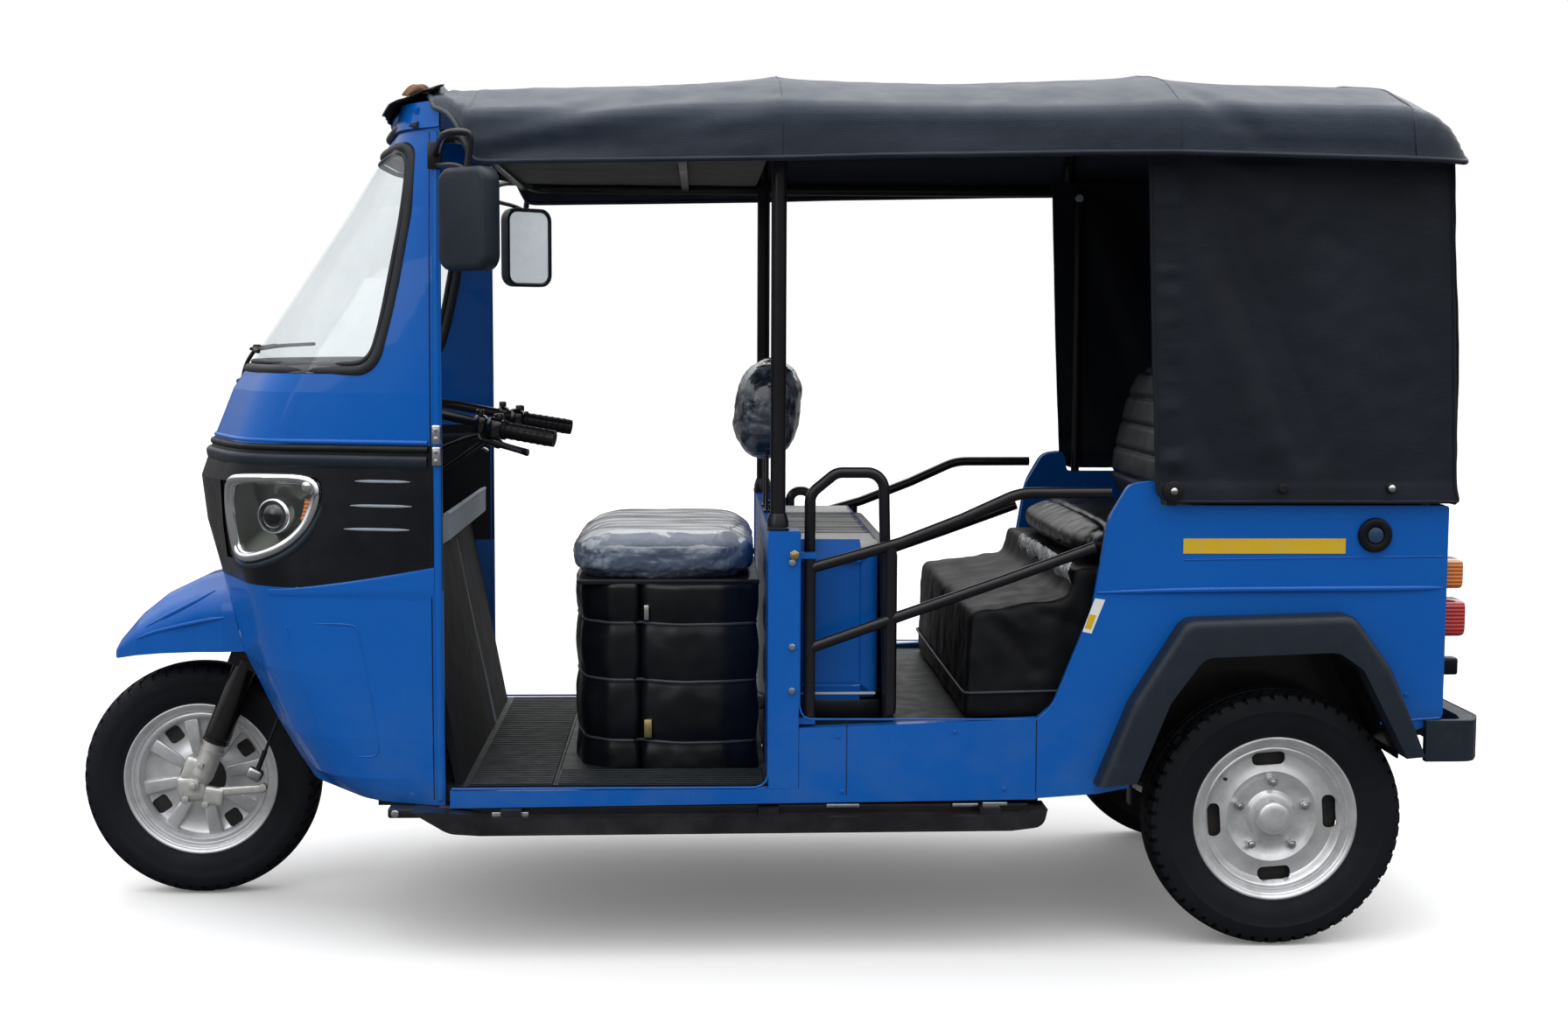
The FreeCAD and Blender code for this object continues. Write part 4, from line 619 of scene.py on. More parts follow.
def makeTyre(kind):
    sizes = tyreSizes[kind]
    near = sizes["half"] + sizes["inner"]
    far = [(-a, r) for a, r in reversed(near)]
    loop = near + far[1:-1] + [near[0]]
    tyre = spun([(a / 1000, r / 1000) for a, r in loop], (0, 0, 0), sides=sizes["steps"])
    step = 2 * math.pi / sizes["steps"]

    def inGroove(centre, normal):
        # cross grooves, stepped sideways over each half of the tread, open at the shoulder
        radius = math.hypot(centre.x, centre.z)
        half = abs(centre.y)
        if radius < sizes["crown"] - 0.0155 or half < 0.016 or half > 0.0545 or normal.length == 0:
            return False
        outwards = (normal.x * centre.x + normal.z * centre.z) / radius
        if outwards < 0.2 and half < 0.045:
            return False
        turn = math.atan2(centre.z, centre.x) / step
        lean = 1 if centre.y > 0 else 2
        shoulder = 1 if half > 0.034 else 0
        return int(math.floor(turn + 1000.5)) % sizes["every"] == (lean + shoulder) % sizes["every"]

    markFaces(tyre, inGroove)
    bpy.ops.mesh.extrude_region_shrink_fatten(TRANSFORM_OT_shrink_fatten={"value": -sizes["cut"]})
    leaveEdit()
    return tyre


rimSizes = {
    # outer face as (out from the middle, radius), from the lip inwards to the bore, then the
    # openings: their turn and place in millimetres, half sizes and rounded corners in metres
    "front": {"face": [(30, 166.6), (35, 167.4), (38.2, 166.2), (38.8, 163.5), (37.4, 160), (34.5, 157.4),
                       (31, 156), (29.2, 152.5), (28.6, 148), (25.4, 146.6), (24.6, 144), (26.4, 141), (26, 137),
                       (21, 132), (9, 127), (5, 120), (4, 90), (8, 70), (15, 58), (15, 50), (-12, 49)],
              "spokes": 8, "spokeTurn": 11.5,
              "windowTurn": 34, "windowR": 111, "window": (0.0175, 0.10, 0.017), "corner": (0.008, 4)},
    "rear": {"face": [(38, 166.6), (42, 167.4), (45.6, 166.4), (46.4, 163.4), (45, 159.6), (41.6, 156.8),
                      (37, 155.2), (35, 151), (34.6, 147.4), (31, 146.4), (30, 143.4), (31.6, 140.6),
                      (29, 137), (22, 133), (17, 128), (16, 112), (19, 100), (22, 92), (18, 82), (14, 76),
                      (13, 62), (13, 52), (17, 46), (17, 20)],
             "windowTurn": 4, "windowR": 118, "window": (0.034, 0.10, 0.0135), "corner": (0.012, 5)},
}


def makeRim(kind):
    # the pressed disc with its lip, a barrel behind it, and the openings cut through
    sizes = rimSizes[kind]
    face = [(-a / 1000, r / 1000) for a, r in sizes["face"]]
    wall = 0.004
    back = [(a + wall, r - (wall if r > 0.145 else 0)) for a, r in reversed(face[3:])]
    barrel = [(face[1][0] + wall, 0.1575), (0.030, 0.1530), (0.033, 0.1655), (0.030, 0.1660), (0.024, 0.1575),
              (face[0][0] + 0.006, 0.1575)]
    disc = spun(face + back + barrel + [face[0]], (0, 0, 0), sides=128)
    cutters = []
    for k in range(4):
        angle = math.radians(sizes["windowTurn"] + 90 * k)
        hole = block([-s for s in sizes["window"]], sizes["window"], 0.0)
        markEdges(hole, lambda a, b: abs(a.y - b.y) > 0.1)
        bpy.ops.mesh.bevel(offset=sizes["corner"][0], segments=sizes["corner"][1], affect="EDGES")
        leaveEdit()
        matrix = (Matrix.Rotation(-angle, 4, "Y") @ Matrix.Translation((sizes["windowR"] / 1000, 0, 0))
                  @ Matrix.Rotation(math.radians(90), 4, "Y"))
        hole.data.transform(matrix)
        cutters.append(hole)
    cutter = joined(cutters)
    useModifier(disc, "BOOLEAN", operation="DIFFERENCE", object=cutter, solver="EXACT")
    bpy.data.objects.remove(cutter)
    extras = []
    for k in range(sizes.get("spokes", 0)):
        # a flat-topped rib standing on the disc
        rib = block((0.050, -0.0165, -0.012), (0.131, -0.002, 0.012), 0.0)
        markFaces(rib, lambda c, n: n.x > 0.9)
        bpy.ops.transform.resize(value=(1, 1, 1.35))
        markEdges(rib, lambda a, b: a.y < -0.01 and b.y < -0.01)
        bpy.ops.mesh.bevel(offset=0.005, segments=3, affect="EDGES")
        leaveEdit()
        rib.data.transform(Matrix.Rotation(-math.radians(sizes["spokeTurn"] + 45 * k), 4, "Y"))
        extras.append(rib)
    return joined([disc] + extras)


blackGloss = vinylFinish("blackGloss", (0.004, 0.004, 0.005), (0.010, 0.010, 0.011), 0.12, 0.0, 0.9)


def pillowCasting(middle, sizes, tilt):
    # a rough cast lump of so many millimetres each way, tilted by degrees
    lump = block([-s / 2000 for s in sizes], [s / 2000 for s in sizes], min(sizes) / 2600, 3)
    useModifier(lump, "SUBSURF", levels=1, render_levels=1)
    lump.data.transform(Matrix.Translation(middle) @ Matrix.Rotation(math.radians(tilt), 4, "Y"))
    return lump


wheelCentres = {"front": at(0, 0, wheelR["front"] * 1000),
                "rear": at(vehicle["wheelbase"], -vehicle["halfTrack"], wheelR["rear"] * 1000)}

for kind in ("front", "rear"):
    shift = Matrix.Translation(wheelCentres[kind])
    tyre, rim = makeTyre(kind), makeRim(kind)
    parts = [(tyre, "tyre", tyreRubber, "tyre", 25), (rim, "rim", wheelSilver, "wheel_paint", 32)]
    if kind == "rear":
        cap = spun([(-0.010, 0.0475), (-0.017, 0.0475), (-0.020, 0.044), (-0.021, 0.0365), (-0.034, 0.0350),
                    (-0.0405, 0.0325), (-0.044, 0.027), (-0.0455, 0.018), (-0.046, 0.0)], (0, 0, 0), sides=64)
        nuts, studs = [], []
        for k in range(5):
            angle = math.radians(18 + 72 * k)
            x, z = 0.070 * math.cos(angle), 0.070 * math.sin(angle)
            nut = rod((x, -0.012, z), (x, -0.027, z), 0.0098, 6, 0.0012)
            nuts += [nut, rod((x, -0.02, z), (x, -0.034, z), 0.0052, 16, 0.001)]
        valve = rod((-0.098, -0.022, 0.077), (-0.104, -0.052, 0.083), 0.0035, 12, 0.001)
        drum = spun([(-0.001, 0.0), (-0.001, 0.134), (0.004, 0.140), (0.055, 0.140), (0.060, 0.130), (0.060, 0.0)],
                    (0, 0, 0), sides=64)
        parts += [(drum, "drum", ironAndShade, "cast_metal", 30), (cap, "hub_cap", wheelSilver, "wheel_paint", 40),
                  (joined(nuts), "wheel_nuts", steel, "wheel_paint", 30),
                  (valve, "valve", gripRubber, "tyre", 30)]
    else:
        # the front drum is a thin near-black plate across the wheel's middle: painted shade, so that the openings
        # and the bore read dark
        drum = spun([(0.004, 0.0), (0.004, 0.048), (0.0015, 0.0485), (0.0015, 0.143), (-0.0015, 0.143),
                     (-0.0015, 0.0485), (-0.004, 0.048), (-0.004, 0.0)], (0, 0, 0), sides=64)
        cleanMesh(rim)
        far = twin(rim, "far", mirror=True)
        parts = [parts[0], (joined([rim, far]), "rim", wheelSilver, "wheel_paint", 32),
                 (drum, "drum", ironAndShade, "cast_metal", 30)]
    for piece, label, finish, slotName, angle in parts:
        piece.data.transform(shift)
        copies = {"front": piece} if kind == "front" else {
            "rear_left": piece, "rear_right": twin(piece, "rear_right_" + label, mirror=True)}
        for wheel, copy in copies.items():
            place(copy, wheel + "_wheel_" + label, finish, wheel + "_wheel", slotName,
                  [wheel + "_" + label] if label in ("tyre", "rim") else [], angle)

# front fork: glossy covers, light sliders with their castings, and the brake's arm and cable
forkSizes = {"half": 83, "leanDeg": 22, "setback": 35, "ahead": 28, "cover": 29, "slider": 24}


def onFork(distance, y):
    # a point so far up the leg from the spindle's height
    lean = math.radians(forkSizes["leanDeg"])
    return at(forkSizes["setback"] - forkSizes["ahead"] + distance * math.sin(lean), y,
              wheelR["front"] * 1000 + distance * math.cos(lean))


for side, label in ((-1, "left"), (1, "right")):
    y = side * forkSizes["half"]
    covers = [pathPiece([onFork(104, y), onFork(112, y), onFork(200, y), onFork(292, y)], forkSizes["cover"] / 1000,
                        order=2, sides=8, tapers=[0.90, 1.0, 0.96, 0.86]),
              pathPiece([onFork(99, y), onFork(107, y)], 0.0285, order=2, sides=8)]
    place(joined(covers), "fork_cover_" + label, blackGloss, body="steering", slot="black_paint", angle=40)
    legs = [pathPiece([onFork(8, y), onFork(20, y), onFork(60, y), onFork(104, y)], forkSizes["slider"] / 1000,
                      order=2, sides=8, tapers=[0.82, 1.0, 1.0, 1.0]),
            pathPiece([onFork(78, y), onFork(84, y)], 0.0262, order=2, sides=8)]
    reach = y + side * 17
    casting = [pillowCasting(at(2, y, 283), (58, 30, 62), 20), pillowCasting(at(-6, y, 246), (66, 32, 62), -8),
               rod(at(0, y - side * 20, 255), at(0, reach + side * 6, 255), 0.013, 6, 0.001),
               rod(at(0, reach, 255), at(0, reach + side * 13, 255), 0.007, 16, 0.001)]
    place(joined(legs + casting), "fork_slider_" + label, castMetal, body="steering", replaces=["fork_sliders"],
          angle=40)
armY = -103
arm = [pillowCasting(at(92, armY, 244), (126, 12, 19), -4), pillowCasting(at(44, armY, 232), (44, 18, 40), 10),
       rod(at(149, armY - 9, 251), at(149, armY + 9, 251), 0.009, 6, 0.001),
       rod(at(26, armY - 12, 214), at(26, armY, 214), 0.008, 6, 0.001),
       rod(at(-16, armY - 12, 226), at(-16, armY, 226), 0.008, 6, 0.001),
       rod(at(18, armY - 14, 300), at(18, armY, 300), 0.007, 6, 0.001)]
knuckle = pillowCasting(at(131, armY, 279), (36, 22, 30), 25)
place(joined(arm), "brake_arm", castMetal, body="steering", angle=40)
place(knuckle, "brake_knuckle", steel, body="steering", angle=40)
cable = [pathPiece([at(138, armY, 290), at(150, armY, 318), at(170, armY + 4, 370), at(192, armY + 20, 428),
                    at(206, armY + 30, 500)], 0.0034),
         pathPiece([at(137, armY, 288), at(146, armY, 309), at(154, armY, 330)], 0.0055)]
place(joined(cable), "brake_cable_low", gripRubber, body="steering", angle=40)
print("wheels made")

# canopy and curtains: fine grids of cloth laid to their shape

def clothGrid(along, across, shape, thickness):
    # lays a grid to a shape of two shares from 0 to 1, and gives it its thickness inwards
    clearSelection()
    bpy.ops.mesh.primitive_grid_add(x_subdivisions=along, y_subdivisions=across, size=1)
    piece = bpy.context.object
    for vertex in piece.data.vertices:
        vertex.co = shape(vertex.co.x + 0.5, vertex.co.y + 0.5)
    useModifier(piece, "SOLIDIFY", thickness=thickness, offset=-1)
    return piece


def bell(distance, width):
    return math.exp(-(distance / width) ** 2)


def ruffle(x, y, z, scale):
    return noise.noise(Vector((x, y, z)) * scale)


def between(table, value):
    # a table's row at a value, straight between its neighbours
    low = max((row for row in table if row[0] <= value), default=table[0])
    high = min((row for row in table if row[0] >= value), default=table[-1])
    share = 0 if high[0] == low[0] else (value - low[0]) / (high[0] - low[0])
    return [a + (b - a) * share for a, b in zip(low, high)]


def rounded(corners, count, closed=False):
    # even steps along a line of (a, b, rounding), its corners cut round
    line = []
    for i, (a, b, r) in enumerate(corners):
        here = Vector((a, b))
        if r == 0 or (not closed and i in (0, len(corners) - 1)):
            line.append(here)
            continue
        before = Vector(corners[i - 1][:2]) - here
        after = Vector(corners[(i + 1) % len(corners)][:2]) - here
        line += [here + before.normalized() * min(r, before.length * 0.48), here,
                 here + after.normalized() * min(r, after.length * 0.48)]
    for _ in range(4):
        ends = list(zip(line, line[1:] + (line[:1] if closed else [])))[:len(line) - (0 if closed else 1)]
        cut = [p for a, b in ends for p in (a * 0.75 + b * 0.25, a * 0.25 + b * 0.75)]
        line = cut if closed else [line[0]] + cut + [line[-1]]
    if closed:
        line.append(line[0])
    reach = [0.0]
    for a, b in zip(line, line[1:]):
        reach.append(reach[-1] + (b - a).length)
    points, i = [], 0
    for k in range(count):
        goal = reach[-1] * k / (count if closed else count - 1)
        while i < len(line) - 2 and reach[i + 1] < goal:
            i += 1
        share = (goal - reach[i]) / max(reach[i + 1] - reach[i], 1e-9)
        points.append(line[i].lerp(line[i + 1], min(share, 1)))
    return points


canopySizes = {
    # back from the front axle, then half width and height of the edge and of the corner, and the top's height
    "rows": [(516, 480, 1657, 460, 1680, 1706), (525, 486, 1656, 466, 1681, 1714),
             (560, 520, 1642, 500, 1678, 1720), (605, 566, 1612, 548, 1656, 1726),
             (632, 588, 1578, 576, 1645, 1729), (664, 597, 1546, 586, 1641, 1732),
             (950, 600, 1551, 592, 1640, 1741), (1240, 600, 1557, 590, 1660, 1758),
             (1420, 600, 1563, 591, 1655, 1753), (1610, 600, 1567, 590, 1652, 1753),
             (1830, 600, 1572, 590, 1658, 1760), (1995, 600, 1574, 590, 1664, 1766),
             (2150, 600, 1571, 590, 1662, 1756), (2410, 598, 1566, 588, 1662, 1751),
             (2452, 595, 1565, 584, 1658, 1746), (2490, 590, 1564, 578, 1648, 1728),
             (2520, 582, 1563, 568, 1632, 1704), (2540, 572, 1562, 556, 1616, 1676),
             (2553, 563, 1562, 547, 1600, 1640), (2559, 558, 1562, 544, 1585, 1604),
             (2562, 556, 1562, 545, 1570, 1570)],
    "bows": [(750, 3.0, 40), (1240, 7.0, 42), (1995, 8.0, 38), (2430, 3.5, 16)],
    "along": 244, "around": 90, "thickness": 0.0024,
    # sweeping folds of the skirt: how they run back and up, half width and depth
    "folds": [((660, 1552), (935, 1596), (1150, 1640), 17, 7.5),
              ((830, 1562), (1063, 1588), (1215, 1610), 12, 4.5),
              ((640, 1600), (760, 1622), (900, 1650), 14, 4.5),
              ((1270, 1600), (1500, 1612), (1760, 1604), 26, 3.0),
              ((2020, 1700), (2080, 1640), (2160, 1606), 20, 3.5),
              ((2060, 1582), (2250, 1588), (2420, 1584), 9, 3.0)],
}


def foldDepth(x, z, folds):
    depth = 0
    for (x0, z0), (x1, z1), (x2, z2), width, most in folds:
        share = (x - x0) / (x2 - x0)
        if -0.15 < share < 1.15:
            line = z0 * (1 - share) ** 2 + (4 * z1 - z0 - z2) * share * (1 - share) + z2 * share ** 2
            ease = min(1, (share + 0.15) / 0.3, (1.15 - share) / 0.3)
            depth += ease * most * (bell(z - line, width) - 0.55 * bell(z - line - 1.9 * width, width * 1.1))
    return depth


def canopyPoint(along, across):
    sizes = canopySizes
    front, rear = sizes["rows"][0][0], sizes["rows"][-1][0]
    # the rows lie close at both ends, where the cloth turns
    x = front + (rear - front) * (along + 0.030 * math.sin(2 * math.pi * along) * -1)
    widths = [between(sizes["rows"], min(rear, max(front, x + shift)))[1:] for shift in (-9, 0, 9)]
    edgeW, edgeZ, cornerW, cornerZ, topZ = [sum(values) / 3 for values in zip(*widths)]
    for bow, rise, reach in sizes["bows"]:
        topZ += rise * math.exp(-abs(x - bow) / reach)
        cornerZ += 0.5 * rise * math.exp(-abs(x - bow) / reach)
    half = [(-edgeW, edgeZ, 0), (-cornerW, cornerZ, 46), (-0.72 * cornerW, cornerZ + 0.62 * (topZ - cornerZ), 150),
            (-0.26 * cornerW, topZ, 150)]
    key = round(x, 3)
    if key not in canopyRuns:
        canopyRuns[key] = rounded(half + [(-a, b, r) for a, b, r in reversed(half)], sizes["around"] + 1)
    run = canopyRuns[key]
    k = round(across * sizes["around"])
    here = run[k]
    tangent = (run[min(k + 1, len(run) - 1)] - run[max(k - 1, 0)]).normalized()
    outwards = Vector((0, -tangent.y, tangent.x))
    side = abs(2 * across - 1)
    y, z = here
    bunch = bell(x - 545, 46) * bell(side - 0.72, 0.20)
    lift = 13 * bunch * ruffle(x, y * 0.25, z * 0.9, 0.045)
    lift += 11 * bell(x - 552, 17) * bell(side - 0.58, 0.10) - 6 * bell(x - 528, 9) * bell(side - 0.6, 0.14)
    lift += 5 * bell(x - 610, 50) * bell(side - 0.86, 0.10) * ruffle(x * 1.4, y, z, 0.06)
    lift -= foldDepth(x, z, sizes["folds"]) * min(1, max(0, (side - 0.62) / 0.12))
    lift += 2.4 * ruffle(x * 0.6, y * 0.8, z, 0.009) + 1.0 * ruffle(x, y * 0.5, z, 0.03)
    lift -= 2.5 * bell(side - 0.98, 0.03) * (0.5 + 0.5 * ruffle(x, 0, 0, 0.012))
    lift += 2.6 * bell(x - 2500, 45) * bell(side - 0.85, 0.10) * ruffle(x * 1.2, z * 1.2, 0, 0.05)
    # the front edge curves round the nose
    bend = 56 * min(1.3, (y / 460) ** 2) * max(0, 1 - (x - front) / 150)
    return at(x + bend, y, z) + outwards * lift / 1000


canopyRuns = {}
canopyPiece = clothGrid(canopySizes["along"], canopySizes["around"], canopyPoint, canopySizes["thickness"])
place(canopyPiece, "canopy", canvas, replaces=["roof_canopy"], angle=60)

# a rolled hem round the whole edge, and piping on the end seam and over the bows
edge = [canopyPoint(i / 90, 0) for i in range(91)] + [canopyPoint(1, j / 24) for j in range(1, 24)]
edge += [canopyPoint(1 - i / 90, 1) for i in range(91)] + [canopyPoint(0, 1 - j / 24) for j in range(1, 24)]
hem = pathPiece(edge, 0.0056, closed=True, resolution=3, sides=2)
place(hem, "canopy_hem", canvas, angle=60)


def canopySeam(x, radius, bow=0.0):
    rise = []
    for j in range(53):
        across = j / 52
        goal = x + bow * (2 * across - 1) ** 2
        low, high = 0.0, 1.0
        for _ in range(22):
            middle = (low + high) / 2
            if canopyPoint(middle, across).x < at(goal, 0, 0).x:
                low = middle
            else:
                high = middle
        rise.append(canopyPoint(low, across))
    return pathPiece(rise, radius, resolution=3, sides=2)


seams = joined([canopySeam(2430, 0.0030, 22), canopySeam(1243, 0.0012), canopySeam(1998, 0.0012),
                canopySeam(655, 0.0012)])
place(seams, "canopy_seams", canvas, angle=60)


# the torn front flap over the cap, with its rusty edge
def flapPoint(along, across):
    y = (across - 0.5) * 2
    x = 446 + 92 * along
    front = 24 * y ** 2 + 34 * along * y ** 2
    z = 1670 + (50 - 14 * y ** 2) * along ** 0.7 - 5 * y ** 2
    z += 7 * bell(along - 0.35, 0.2) * bell(abs(y) - 0.62, 0.25)
    z += 7 * ruffle(x * 1.1, y * 160, 0, 0.035) * (0.3 + along) + 4 * ruffle(x, y * 420, 3, 0.05)
    if along < 0.12:
        z -= 16 * (0.12 - along) / 0.12
    return at(x + front + 6 * ruffle(y * 260, 0, 5, 0.05), y * (404 + 50 * along), z)


flap = clothGrid(26, 120, flapPoint, 0.002)
oldCloth = clothFinish("oldCloth", (0.006, 0.006, 0.007), (0.03, 0.026, 0.022), 0.6, 150, 0.0003)
place(flap, "torn_front_flap", oldCloth, angle=60)

rags = []
for side in (-1, 1):
    for k in range(5):
        y = side * (300 + 26 * k)
        x = 520 + 8 * math.sin(k * 2.1) + 8 * (abs(y) / 440) ** 2
        z = 1712 - 0.055 * (abs(y) - 300) - 2 * k
        rags.append(pathPiece([at(x - 16, y - 12, z - 12), at(x, y - 4, z + 5), at(x + 12, y + 8, z + 3),
                               at(x + 24, y + 14, z - 6)], 0.0075, tapers=[0.3, 1, 0.9, 0.3]))
tornEdge = joined(rags)
rustyCloth = clothFinish("rustyCloth", (0.22, 0.125, 0.07), (0.08, 0.055, 0.04), 0.8, 150, 0.0004)
place(tornEdge, "torn_edge", rustyCloth, angle=60)


def liningPoint(along, across):
    x, y = 640 + 584 * along, (across - 0.5) * 1106
    sag = -9 * (1 - (2 * across - 1) ** 2) * (0.6 + 0.4 * math.sin(along * math.pi))
    return at(x, y, 1591 + sag + 1.5 * ruffle(x, y, 0, 0.012))


roofLining = clothGrid(40, 60, liningPoint, 0.0025)
battens = joined([block(at(x - 9, -548, 1573), at(x + 9, 548, 1580), 0.002) for x in (662, 1052)])
place(battens, "lining_battens", blackPaint)
place(roofLining, "roof_lining", lining, angle=60)

curtainSizes = {
    "front": [(905, 1981), (1194, 1967), (1600, 1952)],
    "rear": [(905, 2576), (930, 2571), (1191, 2561), (1600, 2542)],
    "low": 905, "high": 1600, "y": 526.5, "along": 118, "up": 134,
    # broad slanting folds: two ends, half width, depth outwards
    "folds": [((2066, 1509), (2275, 1020), 42, -7.5), ((2010, 1480), (2190, 1020), 45, 6.5),
              ((1998, 1180), (2100, 960), 30, -4.5), ((2180, 1540), (2420, 1000), 60, 5.0),
              ((2440, 1500), (2520, 960), 50, -4.0), ((2110, 1560), (2200, 1480), 30, 3.5),
              ((2300, 1430), (2330, 1400), 22, -3.0)],
}


def curtainPoint(along, up):
    sizes = curtainSizes
    z = sizes["low"] + (sizes["high"] - sizes["low"]) * up
    front, rear = between(sizes["front"], z)[1], between(sizes["rear"], z)[1]
    # the front bottom corner is rounded
    lowFront = max(0, 1 - (z - sizes["low"]) / 24)
    x = front + (rear - front) * along + 24 * (1 - math.sqrt(max(0, 1 - lowFront ** 2))) * (1 - along) ** 6
    out = 0
    for (x0, z0), (x1, z1), width, most in sizes["folds"]:
        run = Vector((x1 - x0, z1 - z0))
        share = max(0, min(1, (Vector((x - x0, z - z0)).dot(run)) / run.length_squared))
        off = (Vector((x, z)) - Vector((x0, z0)) - run * share).length
        out += most * bell(off, width)
    band = 1 / (1 + math.exp((x - front - 58) / 3))
    pucker = max(0, ruffle(x * 0.12, z, 2, 0.030)) * 8 * bell(x - front - 34, 24)
    out += 2.2 * band + pucker
    out += 3.0 * ruffle(x, 0, z * 0.5, 0.006) + 1.2 * ruffle(x, 4, z, 0.02)
    hemBand = 1 / (1 + math.exp((z - sizes["low"] - 34) / 2))
    out += 1.6 * hemBand + 4 * bell(z - sizes["low"], 30) * (0.5 + 0.5 * ruffle(x, 1, 0, 0.01))
    out = 0.4 * out if z > 1560 else out
    return at(x, -sizes["y"] - max(-3.0, out + 1.5), z)


nearCurtain = clothGrid(curtainSizes["along"], curtainSizes["up"], curtainPoint, 0.0022)
farCurtain = twin(nearCurtain, "curtain_right", mirror=True)
edge = [curtainPoint(0, k / 60) for k in range(60, -1, -1)] + [curtainPoint(k / 50, 0) for k in range(1, 51)]
edge += [curtainPoint(1, k / 60) for k in range(1, 61)]
nearHem = pathPiece(edge, 0.0036, resolution=3, sides=2)
farHem = twin(nearHem, "curtain_hem_right", mirror=True)
for piece, name in ((nearHem, "curtain_hem_left"), (farHem, "curtain_hem_right")):
    place(piece, name, curtainCloth, angle=60)
for piece, name, hemPiece in ((nearCurtain, "side_curtain_left", nearHem),
                              (farCurtain, "side_curtain_right", farHem)):
    place(piece, name, curtainCloth, replaces=["side_curtains"], angle=60)


def rearPoint(across, up):
    z = 902 + (716 - 30 * abs(across * 2 - 1) ** 6) * up
    y = (across - 0.5) * 2 * (519 + 22 * up)
    out = 4 * math.sin(across * 23 + 1.5 * math.sin(up * 5)) * (0.35 + 0.65 * (1 - up)) * (1 - bell(up, 0.06))
    out += 5 * ruffle(y * 1.6, z * 0.35, 7, 0.008) + 1.5 * ruffle(y, z, 9, 0.02)
    x = 2575 - 29 * up ** 1.1 + max(-4, out)
    return at(x, y, z)


rearCloth = clothGrid(100, 108, rearPoint, 0.0022)
rearEdge = [rearPoint(k / 60, 0) for k in range(61)]
rearHem = pathPiece(rearEdge, 0.004, resolution=3, sides=2)
straps = []
for share in (0.2, 0.8):
    points = [rearPoint(share, 0.93 - k / 12 * 0.92) + Vector((0.006, 0, 0)) for k in range(13)]
    strap = pathPiece(points, 0.0035, resolution=4, sides=2)
    # flattened to a webbing strap
    middle = points[0].y
    for vertex in strap.data.vertices:
        if abs(vertex.co.y - middle) < 0.02:
            vertex.co.y = middle + (vertex.co.y - middle) * 5.2
    straps.append(strap)
webbing = joined(straps)
place(webbing, "curtain_straps", curtainCloth, angle=60)
place(rearHem, "rear_curtain_hem", curtainCloth, angle=60)
place(rearCloth, "rear_curtain_cloth", curtainCloth, replaces=["rear_curtain"], angle=60)

studs = []
for x, z, size in ((2010, 926, 20), (2226, 931, 9), (2440, 932, 10)):
    y = -533 - (5 if size > 12 else 3)
    studs.append(spun([(0.003, size / 1000), (-0.001, size / 1000), (-0.003, size * 0.8 / 1000), (-0.003, 0)],
                      at(x, y, z), sides=28))
washers = joined(studs)
bothSides(washers, "curtain_washers", gripRubber)
heads = [spun([(0, 0.007), (-0.004, 0.0068), (-0.006, 0.004), (-0.0065, 0)], at(x, -541 if x < 2100 else -539, z),
              sides=20) for x, z in ((2010, 926), (2440, 932))]
bothSides(joined(heads), "curtain_screws", steel)
print("canopy and curtains made")

# the cab's front: points on its skin come from rays cast at the frame's own nodes

skinTrees = {}


def skinTree(name):
    if name not in skinTrees:
        mesh = nodes[name].data
        skinTrees[name] = BVHTree.FromPolygons([v.co.copy() for v in mesh.vertices],
                                               [tuple(f.vertices) for f in mesh.polygons])
    return skinTrees[name]


def cast(names, start, way):
    # the first point that a ray meets on these nodes, and the direction that faces out there
    for step in (0, 0.0016, -0.0016):
        # a ray through the gap between two shells is tried again a little higher or lower
        begin, best = start + Vector((0, 0, step)), None
        for name in names:
            point, normal, _, reach = skinTree(name).ray_cast(begin, way)
            if point is not None and (best is None or reach < best[2]):
                best = (point, normal, reach)
        if best is not None:
            return best[:2]
    raise ValueError("the ray from %s meets none of %s" % (tuple(start), names))


cabNodes = ["upper_cab_shell", "fascia", "lower_cab_shell", "windshield", "roof_cap", "headlamps"]


def roundNose(turn, z, names=cabNodes, out=0.0, centre=430):
    # a point on the nose at a height, so many degrees to the left of straight ahead
    angle = math.radians(turn)
    away = Vector((-math.cos(angle), -math.sin(angle), 0))
    point, _ = cast(names, at(centre, 0, z) + away * 1.1, -away)
    return point + away * out / 1000


def onSide(x, z, names=cabNodes, out=0.0):
    # a point on the near side of the nose, stood off along the skin's own direction
    point, normal = cast(names, at(x, -900, z), Vector((0, 1, 0)))
    return point + normal * out / 1000


def withTwinSide(points):
    # carries a half path from the middle on to the other side
    other = [Vector((p.x, -p.y, p.z)) for p in reversed(points)]
    return other + points[1:] if abs(points[0].y) < 0.002 else other + points


screenEdge = {"low": 1151, "high": 1591, "width": 11.5, "sink": 3.5,
              "side": [(405, 1151), (436, 1155), (458, 1176), (471, 1215), (484, 1262), (497, 1322), (510, 1390),
                       (520, 1455), (527, 1530), (528, 1566), (520, 1586), (500, 1592)]}


def screenPath(inwards, sink):
    sizes = screenEdge
    middle = Vector((330, 1380))
    half = [roundNose(turn, sizes["low"] + inwards, out=-sink, centre=400) for turn in range(0, 80, 8)]
    for x, z in sizes["side"]:
        near = Vector((x, z)) + (middle - Vector((x, z))).normalized() * inwards
        half.append(onSide(near.x, near.y, out=-sink))
    top = [roundNose(turn, sizes["high"] - inwards, out=-sink, centre=560) for turn in (62, 50, 40, 30, 20, 10, 0)]
    half += top
    return half


def screenLoop(inwards, sink):
    half = screenPath(inwards, sink)
    other = [Vector((p.x, -p.y, p.z)) for p in reversed(half)]
    return half + other[1:-1]


